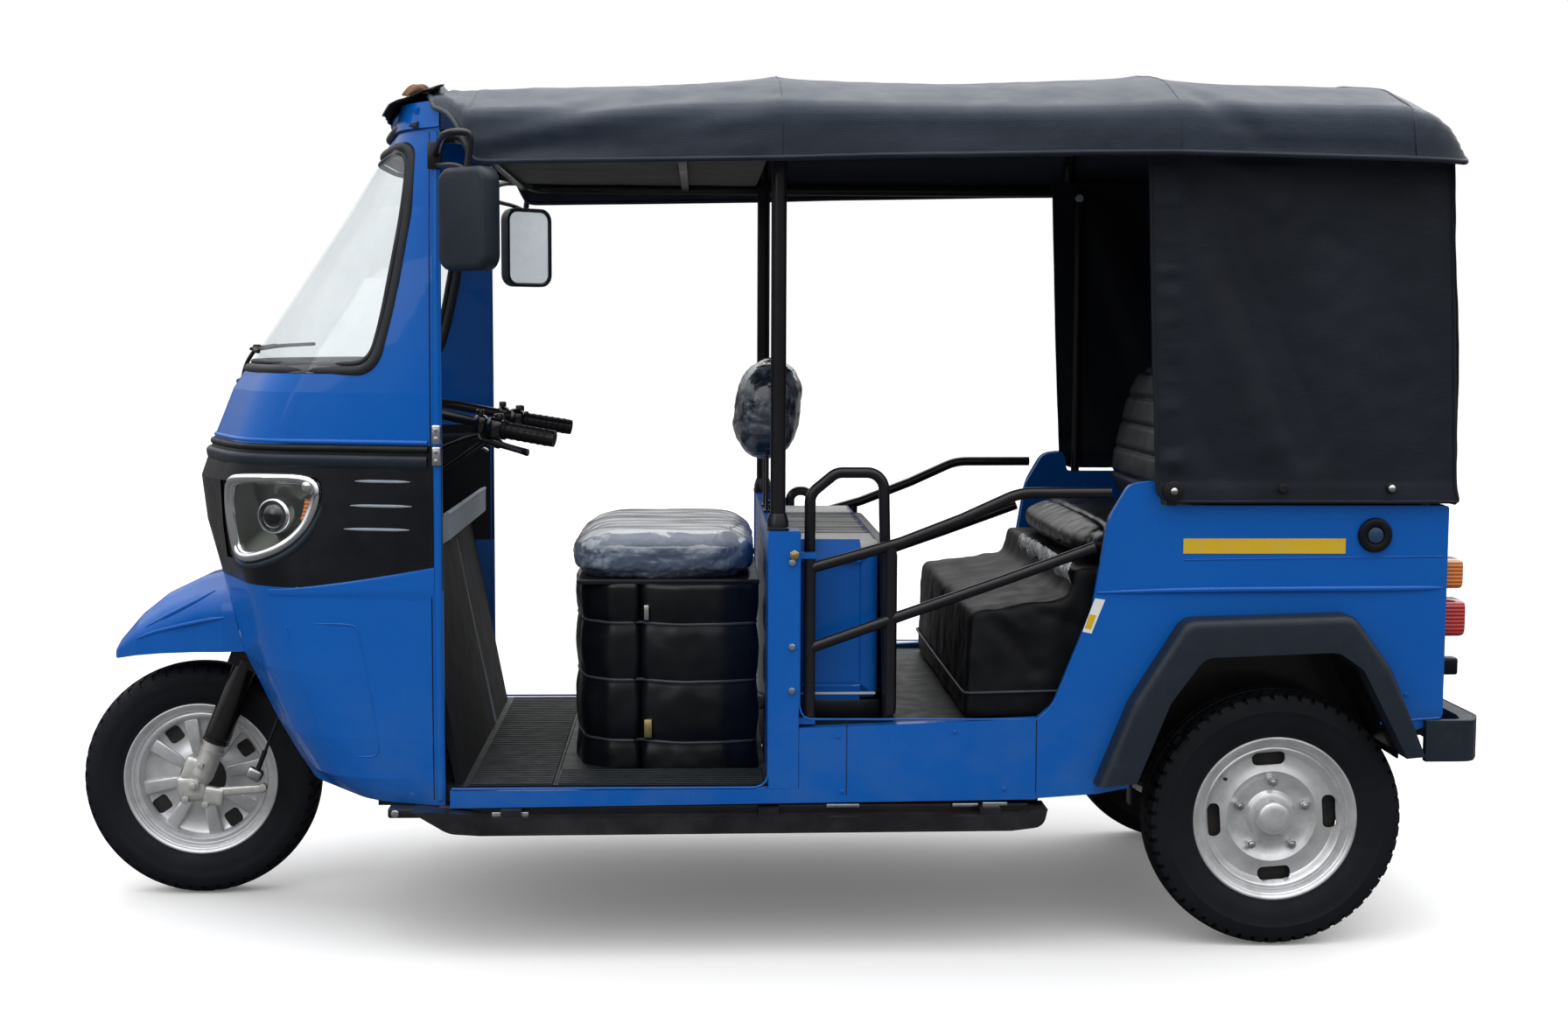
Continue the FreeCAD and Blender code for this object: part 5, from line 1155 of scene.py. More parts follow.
outerLip = pathPiece(screenLoop(0, screenEdge["sink"]), screenEdge["width"] / 1000, closed=True, resolution=4,
                     sides=4)
innerLip = pathPiece(screenLoop(15, 2.0), 0.0055, closed=True, resolution=4, sides=3)
place(joined([outerLip, innerLip]), "screen_seal", rubberSeal, angle=60)

# wiper: pivot on the cowl, an arm up to the holder, and the blade across the glass
pivot = roundNose(4, 1122, out=4)
holder, _ = cast(["windshield"], at(-400, -52, 1190), Vector((1, 0, 0)))
holder += Vector((-0.017, 0, 0.004))
bladeLine = [cast(["windshield"], at(-400, y, 1186 + 0.03 * (y + 150)), Vector((1, 0, 0)))[0]
             + Vector((-0.009, 0, 0.003)) for y in range(-210, 251, 46)]
wiper = [pathPiece([pivot + Vector((-0.004, 0, 0)), pivot.lerp(holder, 0.5) + Vector((-0.016, 0, 0.004)), holder],
                   0.0045), pathPiece(bladeLine, 0.0042),
         pathPiece([p + Vector((-0.007, 0, 0.002)) for p in bladeLine[2:-3]], 0.0035),
         rod(pivot + Vector((-0.014, 0, -0.008)), pivot + Vector((0.016, 0, 0.006)), 0.012, 24, 0.003),
         block(holder - Vector((0.007, 0.013, 0.007)), holder + Vector((0.007, 0.013, 0.007)), 0.003)]
place(joined(wiper), "wiper", gripRubber, angle=50)

# the rounded frame down the cab's rear edge, and the silver catch on it
frameLine = [onSide(579, z, out=-3.5) for z in range(312, 1616, 52)]
bothSides(pathPiece(frameLine, 0.0088, resolution=4, sides=4), "door_frame", bluePaint, angle=60)
seamLine = [onSide(566, z, out=-0.6) for z in range(312, 1616, 52)]
bothSides(pathPiece(seamLine, 0.0016, resolution=3, sides=1), "door_seam", blackPaint, angle=60)
catch = onSide(579, 1010)
plates = [block(catch + Vector((-0.0085, -0.014, low)), catch + Vector((0.0085, -0.002, high)), 0.0035, 3)
          for low, high in ((-0.040, -0.002), (0.003, 0.040))]
pins = [rod(catch + Vector((0, -0.013, z)), catch + Vector((0, -0.018, z)), 0.0042, 16, 0.001)
        for z in (-0.03, -0.012, 0.013, 0.03)]
bothSides(joined(plates + pins), "door_catch", steel, angle=40)

# rubber edge under the roof cap, and the cowl's lower edge
capEdge = [roundNose(turn, 1627, ["roof_cap"], -2.5, 560) for turn in range(0, 89, 8)]
place(pathPiece(withTwinSide(capEdge), 0.0075, resolution=4, sides=3), "cap_rubber", rubberSeal, angle=60)
capRidge = [roundNose(turn, 1655, ["roof_cap"], -3.0, 560) for turn in range(0, 89, 8)]
place(pathPiece(withTwinSide(capRidge), 0.008, resolution=4, sides=3), "cap_ridge", bluePaint, angle=60)
cowlEdge = [roundNose(turn, 1014, out=-1.5) for turn in range(0, 106, 7)]
place(pathPiece(withTwinSide(cowlEdge), 0.0055, resolution=4, sides=3), "cowl_edge", bluePaint, angle=60)

# fascia: the groove strip, the rounded shelf under it, three ribs each side
groove = [roundNose(turn, 1001, ["fascia"], 0.5) for turn in range(0, 106, 7)]
place(pathPiece(withTwinSide(groove), 0.0068, resolution=4, sides=3), "groove_strip", gripRubber, angle=60)
shelf = [roundNose(turn, 981, ["fascia"], -1.5 if turn < 70 else -1.5 - (turn - 70) * 0.09)
         for turn in range(0, 106, 7)]
shelfPiece = pathPiece(withTwinSide(shelf), 0.0105, resolution=4, sides=4)
shelfMiddle = at(0, 0, 981).z
for vertex in shelfPiece.data.vertices:
    drop = shelfMiddle - vertex.co.z
    vertex.co.z = shelfMiddle - drop * (1.9 if drop > 0 else 0.9)
place(shelfPiece, "fascia_shelf", flarePlastic, angle=60)
ribs = []
for z, x0, x1 in ((938, 415, 525), (890, 405, 528), (844, 392, 523)):
    line = [onSide(x0 + (x1 - x0) * k / 8, z, ["fascia"], 0.4) for k in range(9)]
    ribs.append(pathPiece(line, 0.0030, tapers=[0.25, 0.8, 1, 1, 1, 1, 1, 0.8, 0.25]))
bothSides(joined(ribs), "fascia_ribs", greyPlastic, angle=60)


def skinPatch(columns, rows, out, thickness, names):
    # a patch of the nose's skin between two edges that are given as (x, z)
    def shape(along, up):
        low, high = columns(along)
        spot = low.lerp(high, up)
        edgeDrop = 2.1 * bell(up, 0.22) + 0.9 * bell(1 - up, 0.06)
        return onSide(spot.x, spot.y, names, out - edgeDrop)
    return clothGrid(rows[0], rows[1], shape, thickness)


wedge = skinPatch(lambda a: (Vector((236 + 336 * a, 708)), Vector((236 + 336 * a, 722 + 50 * a ** 1.35))),
                  (60, 12), 2.4, 0.002, ["fascia", "lower_cab_shell"])
bothSides(wedge, "shell_shoulder", bluePaint, angle=60)

# two raised lines along each side of the mudguard
ridgeLines = {"mudguard_ridge": [(-112, 574), (-82, 588), (-26, 604), (48, 622), (74, 627), (92, 630)],
              "mudguard_crease": [(-92, 600), (-52, 621), (-5, 645), (42, 669), (62, 681)]}
for name, line in ridgeLines.items():
    ridge = [onSide(x, z, ["front_mudguard"], 0.3) for x, z in line]
    bothSides(pathPiece(ridge, 0.0046, sides=3, tapers=[0.2] + [1] * (len(line) - 2) + [0.3]), name, bluePaint,
              angle=60)

lampSizes = {
    # the chrome frame's middle line, from the front top round: x, z
    "frame": [(143, 905), (149, 932), (176, 939), (215, 941), (262, 942), (306, 941), (331, 933), (336, 912),
              (331, 886), (318, 856), (300, 833), (272, 810), (243, 795), (205, 782), (176, 777), (157, 786),
              (150, 812), (145, 850), (142, 880)],
    "width": 10.0, "sink": 3.0, "deep": 38,
}


def cheekPoint(along, up):
    # a point just under the nose's skin, from the lamp's front edge towards the middle of the nose
    z = 774 + 162 * up
    rim = onSide(147, z)
    turn = math.degrees(math.atan2(-rim.y, at(430, 0, 0).x - rim.x)) - 20 * (1 - along)
    hits = [roundNose(turn + shift, z, out=-3.5) for shift in (-0.4, 0, 0.4)]
    return max(hits, key=lambda p: (p - at(430, 0, z)).length)


bothSides(clothGrid(16, 30, cheekPoint, 0.002), "lamp_cheek", fasciaPlastic, angle=60)


lampLine = [onSide(x, z, out=-lampSizes["sink"]) for x, z in lampSizes["frame"]]
frameRing = pathPiece(lampLine, lampSizes["width"] / 1000, closed=True, resolution=5, sides=4)
innerRing = pathPiece([onSide(*(Vector(p) * 0.93 + Vector((236, 862)) * 0.07), out=-5) for p in lampSizes["frame"]],
                      0.0065, closed=True, resolution=5, sides=3)
bothSides(joined([frameRing, innerRing]), "lamp_frame", chrome, angle=60)
lip = [(139, 798), (148, 768), (172, 760), (214, 766), (254, 780), (290, 801), (318, 828), (336, 858), (349, 890)]
bothSides(pathPiece([onSide(x, z, out=-3.5) for x, z in lip], 0.0085, tapers=[0.5, 1, 1, 1, 1, 1, 1, 0.8, 0.4]),
          "lamp_lip", flarePlastic, angle=60)


def lampSheet(grow, out, dish=0.0):
    # a sheet that fills the lamp's outline on the skin, dished inwards in its middle
    centre = Vector((236, 862))
    loop = [tuple(centre + (Vector(p) - centre) * grow) for p in lampSizes["frame"]]
    around, rings = 64, 12
    outline = rounded([(x, z, 6) for x, z in loop], around, closed=True)
    points, faces = [], []
    for k in range(rings):
        share = k / rings
        for p in outline:
            q = p.lerp(centre, share)
            depth = out - dish * math.sin(min(1, share * 1.15) * math.pi / 2)
            points.append(onSide(q.x, q.y, out=0) + lampWay * depth / 1000)
    points.append(onSide(*centre) + lampWay * (out - dish) / 1000)
    for k in range(rings - 1):
        for i in range(around):
            j = (i + 1) % around
            faces.append((k * around + i, k * around + j, (k + 1) * around + j, (k + 1) * around + i))
    last = (rings - 1) * around
    faces += [(last + i, last + (i + 1) % around, rings * around) for i in range(around)]
    return meshPiece("lamp sheet", points, [], faces)


lampWay = cast(["headlamps"], at(236, -900, 862), Vector((0, 1, 0)))[1]
lampWay = Vector((lampWay.x, lampWay.y, 0)).normalized()
if lampWay.y > 0:
    lampWay = -lampWay


def facing(piece, way):
    # turns an open sheet's faces to one side
    mesh = piece.data
    if sum((f.normal.dot(way) * f.area for f in mesh.polygons)) < 0:
        openAll(piece)
        bpy.ops.mesh.flip_normals()
        leaveEdit()
    return piece


bowl = facing(lampSheet(0.97, -4.0, lampSizes["deep"]), lampWay)
useModifier(bowl, "SOLIDIFY", thickness=0.002, offset=-1)
# painted shade: the reflector bowl is near-black, as the inside of the lamp looks in shade
reflectorShade = metalFinish("reflectorShade", (0.06, 0.065, 0.05), (0.02, 0.022, 0.02), 0.16, 0.0003, 30, 0.8)
bothSides(bowl, "lamp_bowl", reflectorShade, angle=50)
lens = facing(lampSheet(0.93, -1.2), lampWay)
useModifier(lens, "SOLIDIFY", thickness=0.0022, offset=-1)
bothSides(lens, "lamp_lens", lampGlass, replaces=["headlamps"], angle=50)

# the projector, an amber indicator above it and a small bright position lamp
lampMiddle = onSide(244, 866) - lampWay * 0.017
turnToLamp = lampWay.to_track_quat("X", "Z").to_matrix().to_4x4()


def towardsLamp(piece, middle):
    piece.data.transform(Matrix.Translation(middle) @ turnToLamp)
    return piece


projector = spun([(-0.012, 0.036), (0.004, 0.037), (0.010, 0.035), (0.012, 0.031), (0.008, 0.028), (0.004, 0.0285)],
                 (0, 0, 0), "X", 48)
ball = spun([(0.004, 0.0275), (0.012, 0.023), (0.018, 0.014), (0.0205, 0.0)], (0, 0, 0), "X", 40)
towardsLamp(projector, lampMiddle)
towardsLamp(ball, lampMiddle)
useModifier(projector, "SOLIDIFY", thickness=0.0015)
bothSides(projector, "lamp_projector", chrome, angle=50)
darkLens = vinylFinish("darkLens", (0.004, 0.005, 0.006), (0.01, 0.012, 0.014), 0.06, 0.0, 1.0)
bothSides(ball, "lamp_ball", darkLens, angle=50)
amberLine = [onSide(x, z) - lampWay * 0.010 for x, z in ((316, 900), (314, 878), (306, 858))]
bothSides(pathPiece(amberLine, 0.0085), "front_indicator", amberLens, angle=50)
bright = onSide(318, 926) - lampWay * 0.001
position = spun([(-0.006, 0.013), (0.003, 0.0125), (0.007, 0.009), (0.009, 0.0)], (0, 0, 0), "X", 28)
towardsLamp(position, bright)
bothSides(position, "position_lamp", chrome, angle=50)

# mirrors: a padded-looking shell on the far side of the glass, and the looped arm
mirrorSizes = {"middle": (656, -623, 1438), "turnDeg": 50,
               "shell": [(-0.018, -0.066, -0.096), (0.020, 0.066, 0.096)],
               "glass": [(0.0130, -0.0565, -0.0865), (0.0160, 0.0565, 0.0865)]}
shell = block(*mirrorSizes["shell"], 0.0)
markEdges(shell, lambda a, b: abs(a.x - b.x) > 0.02)
bpy.ops.mesh.bevel(offset=0.030, segments=7, affect="EDGES")
markFaces(shell, lambda c, n: n.x < -0.9)
bpy.ops.mesh.bevel(offset=0.013, segments=4, affect="EDGES")
markFaces(shell, lambda c, n: n.x > 0.9)
bpy.ops.mesh.inset(thickness=0.007, depth=0)
bpy.ops.mesh.inset(thickness=0.002, depth=-0.005)
leaveEdit()
useModifier(shell, "BEVEL", width=0.0015, segments=2)
glassPlate = block(*mirrorSizes["glass"], 0.0)
markEdges(glassPlate, lambda a, b: abs(a.x - b.x) > 0.002)
bpy.ops.mesh.bevel(offset=0.022, segments=7, affect="EDGES")
leaveEdit()
turned = (Matrix.Translation(at(*mirrorSizes["middle"]))
          @ Matrix.Rotation(math.radians(mirrorSizes["turnDeg"]), 4, "Z"))
for piece in (shell, glassPlate):
    piece.data.transform(turned)
bothSides(shell, "mirror_shell", flarePlastic, replaces=["mirrors"], angle=40)
bothSides(glassPlate, "mirror_glass", mirrorSilver, angle=40)
root = onSide(584, 1566, ["upper_cab_shell"], -1)
loopArm = [root + Vector((-0.004, 0, 0)), root + Vector((0.002, -0.030, 0.012)), at(606, -590, 1594),
           at(628, -626, 1597), at(656, -628, 1597), at(664, -627, 1590), at(661, -626, 1560), at(657, -625, 1526)]
foot = block(root + Vector((-0.020, -0.008, -0.026)), root + Vector((0.008, 0.002, 0.026)), 0.003)
lowArm = [root + Vector((-0.004, -0.002, -0.018)), root + Vector((0.01, -0.05, -0.022)), at(634, -616, 1540),
          at(654, -624, 1528)]
bothSides(joined([pathPiece(loopArm, 0.0068, order=3, resolution=8), pathPiece(lowArm, 0.005), foot]), "mirror_arm",
          blackPaint, angle=40)
print("front made")

# seats and the things inside

def pillow(low, high, power, cuts=16):
    # a box between two corners, swollen to a rounded cushion's form
    clearSelection()
    bpy.ops.mesh.primitive_cube_add(size=2)
    piece = bpy.context.object
    openAll(piece)
    bpy.ops.mesh.subdivide(number_cuts=cuts)
    leaveEdit()
    low, high = Vector(low), Vector(high)
    middle, half = (low + high) / 2, (high - low) / 2
    for vertex in piece.data.vertices:
        u = vertex.co
        reach = sum(abs(c) ** power for c in u) ** (1 / power)
        vertex.co = middle + Vector(c / reach * h for c, h in zip(u, half))
    return piece


def moved(piece, shape):
    for vertex in piece.data.vertices:
        vertex.co = shape(vertex.co)
    return piece


def plump(piece, cap, voxel):
    # swells a pad like stuffing: cloth under pressure, no point moving further than the cap
    useModifier(piece, "REMESH", mode="VOXEL", voxel_size=voxel)
    rest = [v.co.copy() for v in piece.data.vertices]
    pick(piece)
    bpy.ops.object.modifier_add(type="CLOTH")
    cloth = piece.modifiers[-1]
    cloth.settings.quality = 4
    cloth.settings.use_pressure = True
    cloth.settings.uniform_pressure_force = 4.0
    cloth.settings.effector_weights.gravity = 0
    for step in range(1, 21):
        scene.frame_set(step)
    bpy.ops.object.modifier_apply(modifier=cloth.name)
    scene.frame_set(1)
    for vertex, before in zip(piece.data.vertices, rest):
        move = vertex.co - before
        if move.length > cap:
            vertex.co = before + move.normalized() * cap
    return piece


def alongNormals(piece, depth):
    # moves each point along its normal by a depth in millimetres given its place and normal
    normals = [v.normal.copy() for v in piece.data.vertices]
    for vertex, normal in zip(piece.data.vertices, normals):
        vertex.co += normal * depth(vertex.co, normal) / 1000
    return piece


def inMillimetres(point):
    return (point.x - axleX) * 1000, point.y * 1000, point.z * 1000


# driver's cushion in its film wrap
cushion = pillow(at(812, -340, 728), at(1213, 340, 815), 5.0, 20)


def frontFalls(p):
    # the top falls a little towards the front edge
    drop = 0.010 * max(0, (at(900, 0, 0).x - p.x) / 0.1) if p.z > 0.77 else 0
    return Vector((p.x, p.y, p.z - drop))


moved(cushion, frontFalls)
plump(cushion, 0.010, 0.0082)
useModifier(cushion, "SUBSURF", levels=1, render_levels=1)


def filmCreases(point, normal):
    x, y, z = inMillimetres(point)
    side = 1 - max(0, normal.z) ** 2
    bunch = abs(ruffle(x, y, z * 1.6, 0.014)) - 0.22
    fine = abs(ruffle(x * 1.2, y, z * 2 + x * 0.4, 0.040)) - 0.2
    depth = side * (9.0 * bunch + 3.5 * fine) + (1 - side) * (2.2 * ruffle(x * 0.5, y * 1.6, z, 0.016))
    return depth - 3.0 * bell(z - 738, 7)


alongNormals(cushion, filmCreases)
moved(cushion, lambda p: Vector((min(p.x, at(1218, 0, 0).x), p.y, max(p.z, 0.7245))))
place(cushion, "driver_seat_cushion", filmVinyl, replaces=["driver_cushion"], angle=60)

# driver's backrest: a thick rounded pad on two flat brackets
backrest = pillow((-0.064, -0.152, -0.103), (0.064, 0.152, 0.103), 3.6)
backLean = {"middle": 1234, "leanMm": 22}


def backShape(p):
    share = p.z / 0.104
    narrow = 1 - 0.10 * max(0, share) ** 2
    lean = backLean["leanMm"] / 2000 * share + 0.004 * share ** 2
    return at(backLean["middle"], 0, 1066) + Vector((p.x + lean, p.y * narrow, p.z))


moved(backrest, backShape)
plump(backrest, 0.007, 0.006)
useModifier(backrest, "SUBSURF", levels=1, render_levels=1)


def backCreases(point, normal):
    x, y, z = inMillimetres(point)
    edge = bell(abs(y) - 128, 9)
    fold = abs(ruffle(x * 1.3, y * 0.7, z * 0.7, 0.02)) - 0.2
    return 5.0 * fold * (0.4 + 0.6 * abs(normal.x)) + 2.2 * (abs(ruffle(x, y, z, 0.05)) - 0.2) - 3.0 * edge


alongNormals(backrest, backCreases)
place(backrest, "driver_backrest_pad", filmBack, replaces=["driver_backrest"], angle=60)
brackets = []
for y in (-90, 60):
    bracket = block(at(1229, y, 846), at(1236, y + 30, 1040), 0.0015)
    foot = block(at(1225, y - 4, 845.5), at(1248, y + 34, 850), 0.0015)
    brackets += [bracket, foot, rod(at(1242, y + 15, 849), at(1242, y + 15, 856), 0.0055, 6, 0.001)]
place(joined(brackets), "backrest_brackets", blackPaint)

# the driver's pedestal under its quilted black cover
pedestalSizes = {"low": 337, "high": 721, "ribs": [392, 518, 636], "puff": 8.0, "pinch": 5.0,
                 "plan": [(826, 150, 90), (850, 274, 90), (906, 318, 60), (958, 320, 22), (966, 300, 6),
                          (974, 322, 22), (1050, 348, 120), (1130, 346, 100), (1206, 318, 40)]}


def pedestalRing(z, out, count):
    plan = pedestalSizes["plan"]
    loop = [(x, -y, r * 0.8) for x, y, r in plan] + [(x, y, r * 0.8) for x, y, r in reversed(plan)]
    middle = Vector((1014, 0))
    ring = rounded(loop, count, closed=True)
    points = []
    for i, p in enumerate(ring):
        tangent = (ring[(i + 1) % count] - ring[i - 1]).normalized()
        outwards = Vector((tangent.y, -tangent.x))
        if outwards.dot(p - middle) < 0:
            outwards = -outwards
        wave = 0.6 * ruffle(p.x, p.y, z, 0.03) * 3
        q = p + outwards * (out + wave)
        points.append(at(min(q.x, 1218), q.y, z + 1.5 * ruffle(p.x, p.y, 0, 0.01)))
    return points


def pedestalOut(z):
    marks = [pedestalSizes["low"] - 60] + pedestalSizes["ribs"] + [pedestalSizes["high"] + 20]
    low = max(m for m in marks if m <= z)
    high = min(m for m in marks if m > z)
    share = (z - low) / (high - low)
    return pedestalSizes["puff"] * math.sin(math.pi * share) ** 0.6 - pedestalSizes["pinch"]


levels = [pedestalSizes["low"] + 6.4 * k for k in range(61)]
points, faces, count, last = [], [], 230, len(levels) - 1
for k, z in enumerate(levels):
    points += pedestalRing(z, pedestalOut(z) - (5 if k == last else 0), count)
for k in range(last):
    for i in range(count):
        j = (i + 1) % count
        faces.append((k * count + i, k * count + j, (k + 1) * count + j, (k + 1) * count + i))
faces.append(tuple(range(last * count, (last + 1) * count)))
faces.append(tuple(reversed(range(count))))
pedestal = meshPiece("pedestal", points, [], faces)
cleanMesh(pedestal)
place(pedestal, "pedestal_cover", vinyl, replaces=["engine_cover"], angle=50)
# grey vinyl for the welts, paler than the covers: painted highlight along the pedestal's piping; the seat box's
# welt takes the same grey
greyVinylHighlight = vinylFinish("greyVinylHighlight", (0.030, 0.036, 0.046), (0.07, 0.078, 0.09), 0.4, 0.0004, 0.1)
welts = [pathPiece(pedestalRing(z + 1, -pedestalSizes["pinch"] + 1.5, 115), 0.0032, closed=True, resolution=2,
                   sides=2) for z in pedestalSizes["ribs"]]
place(joined(welts), "pedestal_welts", greyVinylHighlight, angle=60)
lidPlate = block(at(836, -318, 716), at(1210, 318, 727), 0.003)
place(lidPlate, "pedestal_lid", blackPaint)
tags = [block(at(974, -334, 645), at(984, -322, 676), 0.002), block(at(974, -336, 402), at(990, -322, 440), 0.002)]
place(tags[0], "pedestal_catch", steel)
place(tags[1], "pedestal_clip", brass)

# ribbed rubber mat, round the pedestal
mats = []
for x0, x1, y0, y1 in ((630, 803, -482, 482), (803, 1220, -482, -336), (803, 1220, 336, 482)):
    mats.append(block(at(x0, y0, 336.3), at(x1, y1, 338.5), 0.0006, 1))
    y = y0 + 9
    while y < y1 - 6:
        mats.append(block(at(x0 + 5, y - 4.5, 337.5), at(x1 - 5, y + 4.5, 341.2), 0.0012, 1))
        y += 17.5
place(joined(mats), "ribbed_mat", matRubber)
trim = pathPiece([at(534, 150, 764), at(556, 150, 650), at(590, 150, 490), at(621, 150, 342)], 0.004)
place(trim, "floor_trim", greyPlastic)

# luggage box with its slatted lid
boxBody = block(at(1252, -427, 500), at(1444, 427, 802), 0.012, 4)
markFaces(boxBody, lambda c, n: n.y < -0.9 and abs(c.x - at(1348, 0, 0).x) < 0.05)
bpy.ops.mesh.inset(thickness=0.022, depth=0)
bpy.ops.mesh.inset(thickness=0.003, depth=-0.003)
markFaces(boxBody, lambda c, n: n.x > 0.9 and abs(c.y) < 0.05)
bpy.ops.mesh.inset(thickness=0.03, depth=0)
bpy.ops.mesh.inset(thickness=0.003, depth=-0.003)
leaveEdit()
place(boxBody, "luggage_box_body", bluePaint, replaces=["luggage_box"])
place(joined([block(at(1251, -429, 459), at(1450, 429, 498), 0.004),
              block(at(1451, -424, 460), at(1484, 424, 800), 0.014, 4)]), "luggage_box_base", fasciaPlastic)
strips = [block(at(1262, -431, 508), at(1440, -426, 513), 0.001),
          block(at(1262, 426, 508), at(1440, 431, 513), 0.001),
          block(at(1258, -424, 799), at(1444, -250, 816), 0.004),
          block(at(1258, 250, 799), at(1444, 424, 816), 0.004)]
strips += [block(at(1258, y - 1.5, 812), at(1446, y + 1.5, 814.5), 0.0005, 1) for y in (-190, -70, 50, 170)]
palePlastic = mouldedFinish("palePlastic", (0.55, 0.56, 0.54), (0.42, 0.42, 0.40), 0.45)
place(joined(strips), "luggage_box_strips", palePlastic)
slats = [block(at(1253, y - 27, 798), at(1450, y + 27, 811), 0.004) for y in range(-220, 221, 60)]
place(joined(slats), "luggage_lid", fasciaPlastic)

# seat box under its loose vinyl cover
cover = twin(nodes["seat_box"], "seat_cover")
cleanMesh(cover, 0.0002)
useModifier(cover, "REMESH", mode="VOXEL", voxel_size=0.0085)
useModifier(cover, "SMOOTH", factor=0.5, iterations=7)
droops = [((1640, 690), (1760, 560), 16, -4.5), ((1668, 700), (1730, 640), 10, 3.5),
          ((1632, 640), (1660, 520), 12, 3.0), ((1700, 705), (1860, 640), 16, -3.5),
          ((1790, 680), (1800, 560), 20, 2.5)]


def coverFolds(point, normal):
    x, y, z = inMillimetres(point)
    depth = 3.0 * ruffle(x, y, z, 0.012) + 2.0 * ruffle(x, y, z, 0.03) - 3.0
    if abs(normal.y) > 0.5:
        for (x0, z0), (x1, z1), width, most in droops:
            run = Vector((x1 - x0, z1 - z0))
            share = max(0, min(1, Vector((x - x0, z - z0)).dot(run) / run.length_squared))
            depth += most * bell((Vector((x, z)) - Vector((x0, z0)) - run * share).length, width)
    if z > 660:
        depth += 2.5 * ruffle(x * 2, y * 0.5, 0, 0.02)
    return depth


alongNormals(cover, coverFolds)
cover.modifiers.clear()
place(cover, "seat_box_cover", boxVinyl, replaces=["seat_box"], angle=60)
hemLine = [at(1905, -450.5, 519), at(1760, -450.5, 517), at(1640, -450.5, 514), at(1617, -446, 513),
           at(1615.5, -420, 513), at(1615.5, 0, 512), at(1615.5, 420, 513), at(1617, 446, 513),
           at(1640, 450.5, 514), at(1905, 450.5, 519)]
place(pathPiece(hemLine, 0.0028, resolution=8, sides=2), "seat_box_welt", greyVinylHighlight, angle=60)

# bench cushion with its pleated front roll, and the channelled back
bench = pillow(at(1834, -442, 770), at(2186, 442, 836), 3.6)
plump(bench, 0.012, 0.009)
useModifier(bench, "SUBSURF", levels=1, render_levels=1)


def benchPleats(point, normal):
    x, y, z = inMillimetres(point)
    front = bell(x - 1838, 55)
    pleat = 0.55 * math.sin(y / 9.2 + 1.4 * math.sin(y / 61)) + 0.5 * ruffle(x * 0.3, y * 1.8, z * 0.3, 0.03)
    return front * pleat - 4.0 * bell(x - 1916, 6) + 1.2 * ruffle(x, y, z, 0.02)


alongNormals(bench, benchPleats)
place(bench, "bench_seat_cushion", vinyl, replaces=["bench_cushion"], angle=60)
benchBack = pillow((-0.054, -0.434, -0.160), (0.054, 0.434, 0.160), 5.0)
moved(benchBack, lambda p: at(2146, 0, 1010) + Vector((p.x + 0.245 * p.z, p.y, p.z)))
plump(benchBack, 0.008, 0.0098)
useModifier(benchBack, "SUBSURF", levels=1, render_levels=1)


def backChannels(point, normal):
    # sewn channels across the front face
    x, y, z = (c * 1000 for c in point)
    depth = -6.0 * sum(bell(z - level, 5) for level in range(906, 1150, 60)) + 1.5 * ruffle(x, y, z, 0.015)
    return depth * (1 if normal.x < 0.3 else 0.2)


alongNormals(benchBack, backChannels)
place(benchBack, "bench_back_pad", vinylRibbed, replaces=["bench_back"], angle=60)


def filmPoint(along, across):
    # a strip of packing film that hangs crumpled under the cushion's front edge
    y = -446 + 620 * along
    x = 1829 - 7 * math.sin(across * math.pi) + 5 * ruffle(y * 1.4, across * 60, 0, 0.04)
    z = 775 - 52 * across * (0.75 + 0.35 * ruffle(y, 0, 3, 0.012)) + 4 * ruffle(y * 2, across * 90, 5, 0.03)
    return at(x, y, z)


filmStrip = clothGrid(90, 14, filmPoint, 0.0006)
# the packing film, with pale streaks as painted highlights
clearFilm = wrappedFinish("clearFilm", (0.20, 0.22, 0.24), (0.75, 0.77, 0.80), 16.0)
place(filmStrip, "packing_film", clearFilm, angle=60)
print("seats made")

# body details

def bead(points, radius, finish, name, **words):
    # a thin round bead along a path, on both sides
    return bothSides(pathPiece(points, radius / 1000, sides=2, **words), name, finish, angle=60)


bodyY = vehicle["bodyY"]
bead([at(1868, -bodyY, 724), at(1990, -bodyY - 1.5, 729), at(2250, -bodyY - 1.5, 731), at(2545, -bodyY - 1.5, 733),
      at(2558, -bodyY + 3, 733)], 6.5, bluePaint, "belt_crease", resolution=8, tapers=[0.4, 1, 1, 1, 0.3])
bead([at(2040, -bodyY, 789), at(2250, -bodyY, 792), at(2556, -bodyY, 796)], 1.5, bluePaint, "upper_crease")
frontEdge = [(1756, 472, 0), (1786, 500, 42), (1861, 690, 60), (1890, 869, 50), (1930, 938, 34), (1982, 944, 18),
             (1990, 900, 0)]
bead([at(p.x, -bodyY + 2, p.y) for p in rounded(frontEdge, 46)], 2.6, bluePaint, "panel_edge", resolution=2)
doorway = [(1223, 842, 0), (1223, 338, 26), (604, 338, 26)]
bead([at(p.x, -bodyY + 2, p.y) for p in rounded(doorway, 40)], 2.4, bluePaint, "doorway_lip", resolution=2)
gateway = [(1283, 842, 0), (1283, 474, 14), (1756, 472, 0)]
bead([at(p.x, -bodyY + 2, p.y) for p in rounded(gateway, 30)], 2.0, bluePaint, "gateway_lip", resolution=2)
bead([at(2440, -bodyY + 1, 462), at(2500, -bodyY + 1, 468), at(2560, -bodyY + 2, 472)], 3.2, bluePaint,
     "panel_foot")
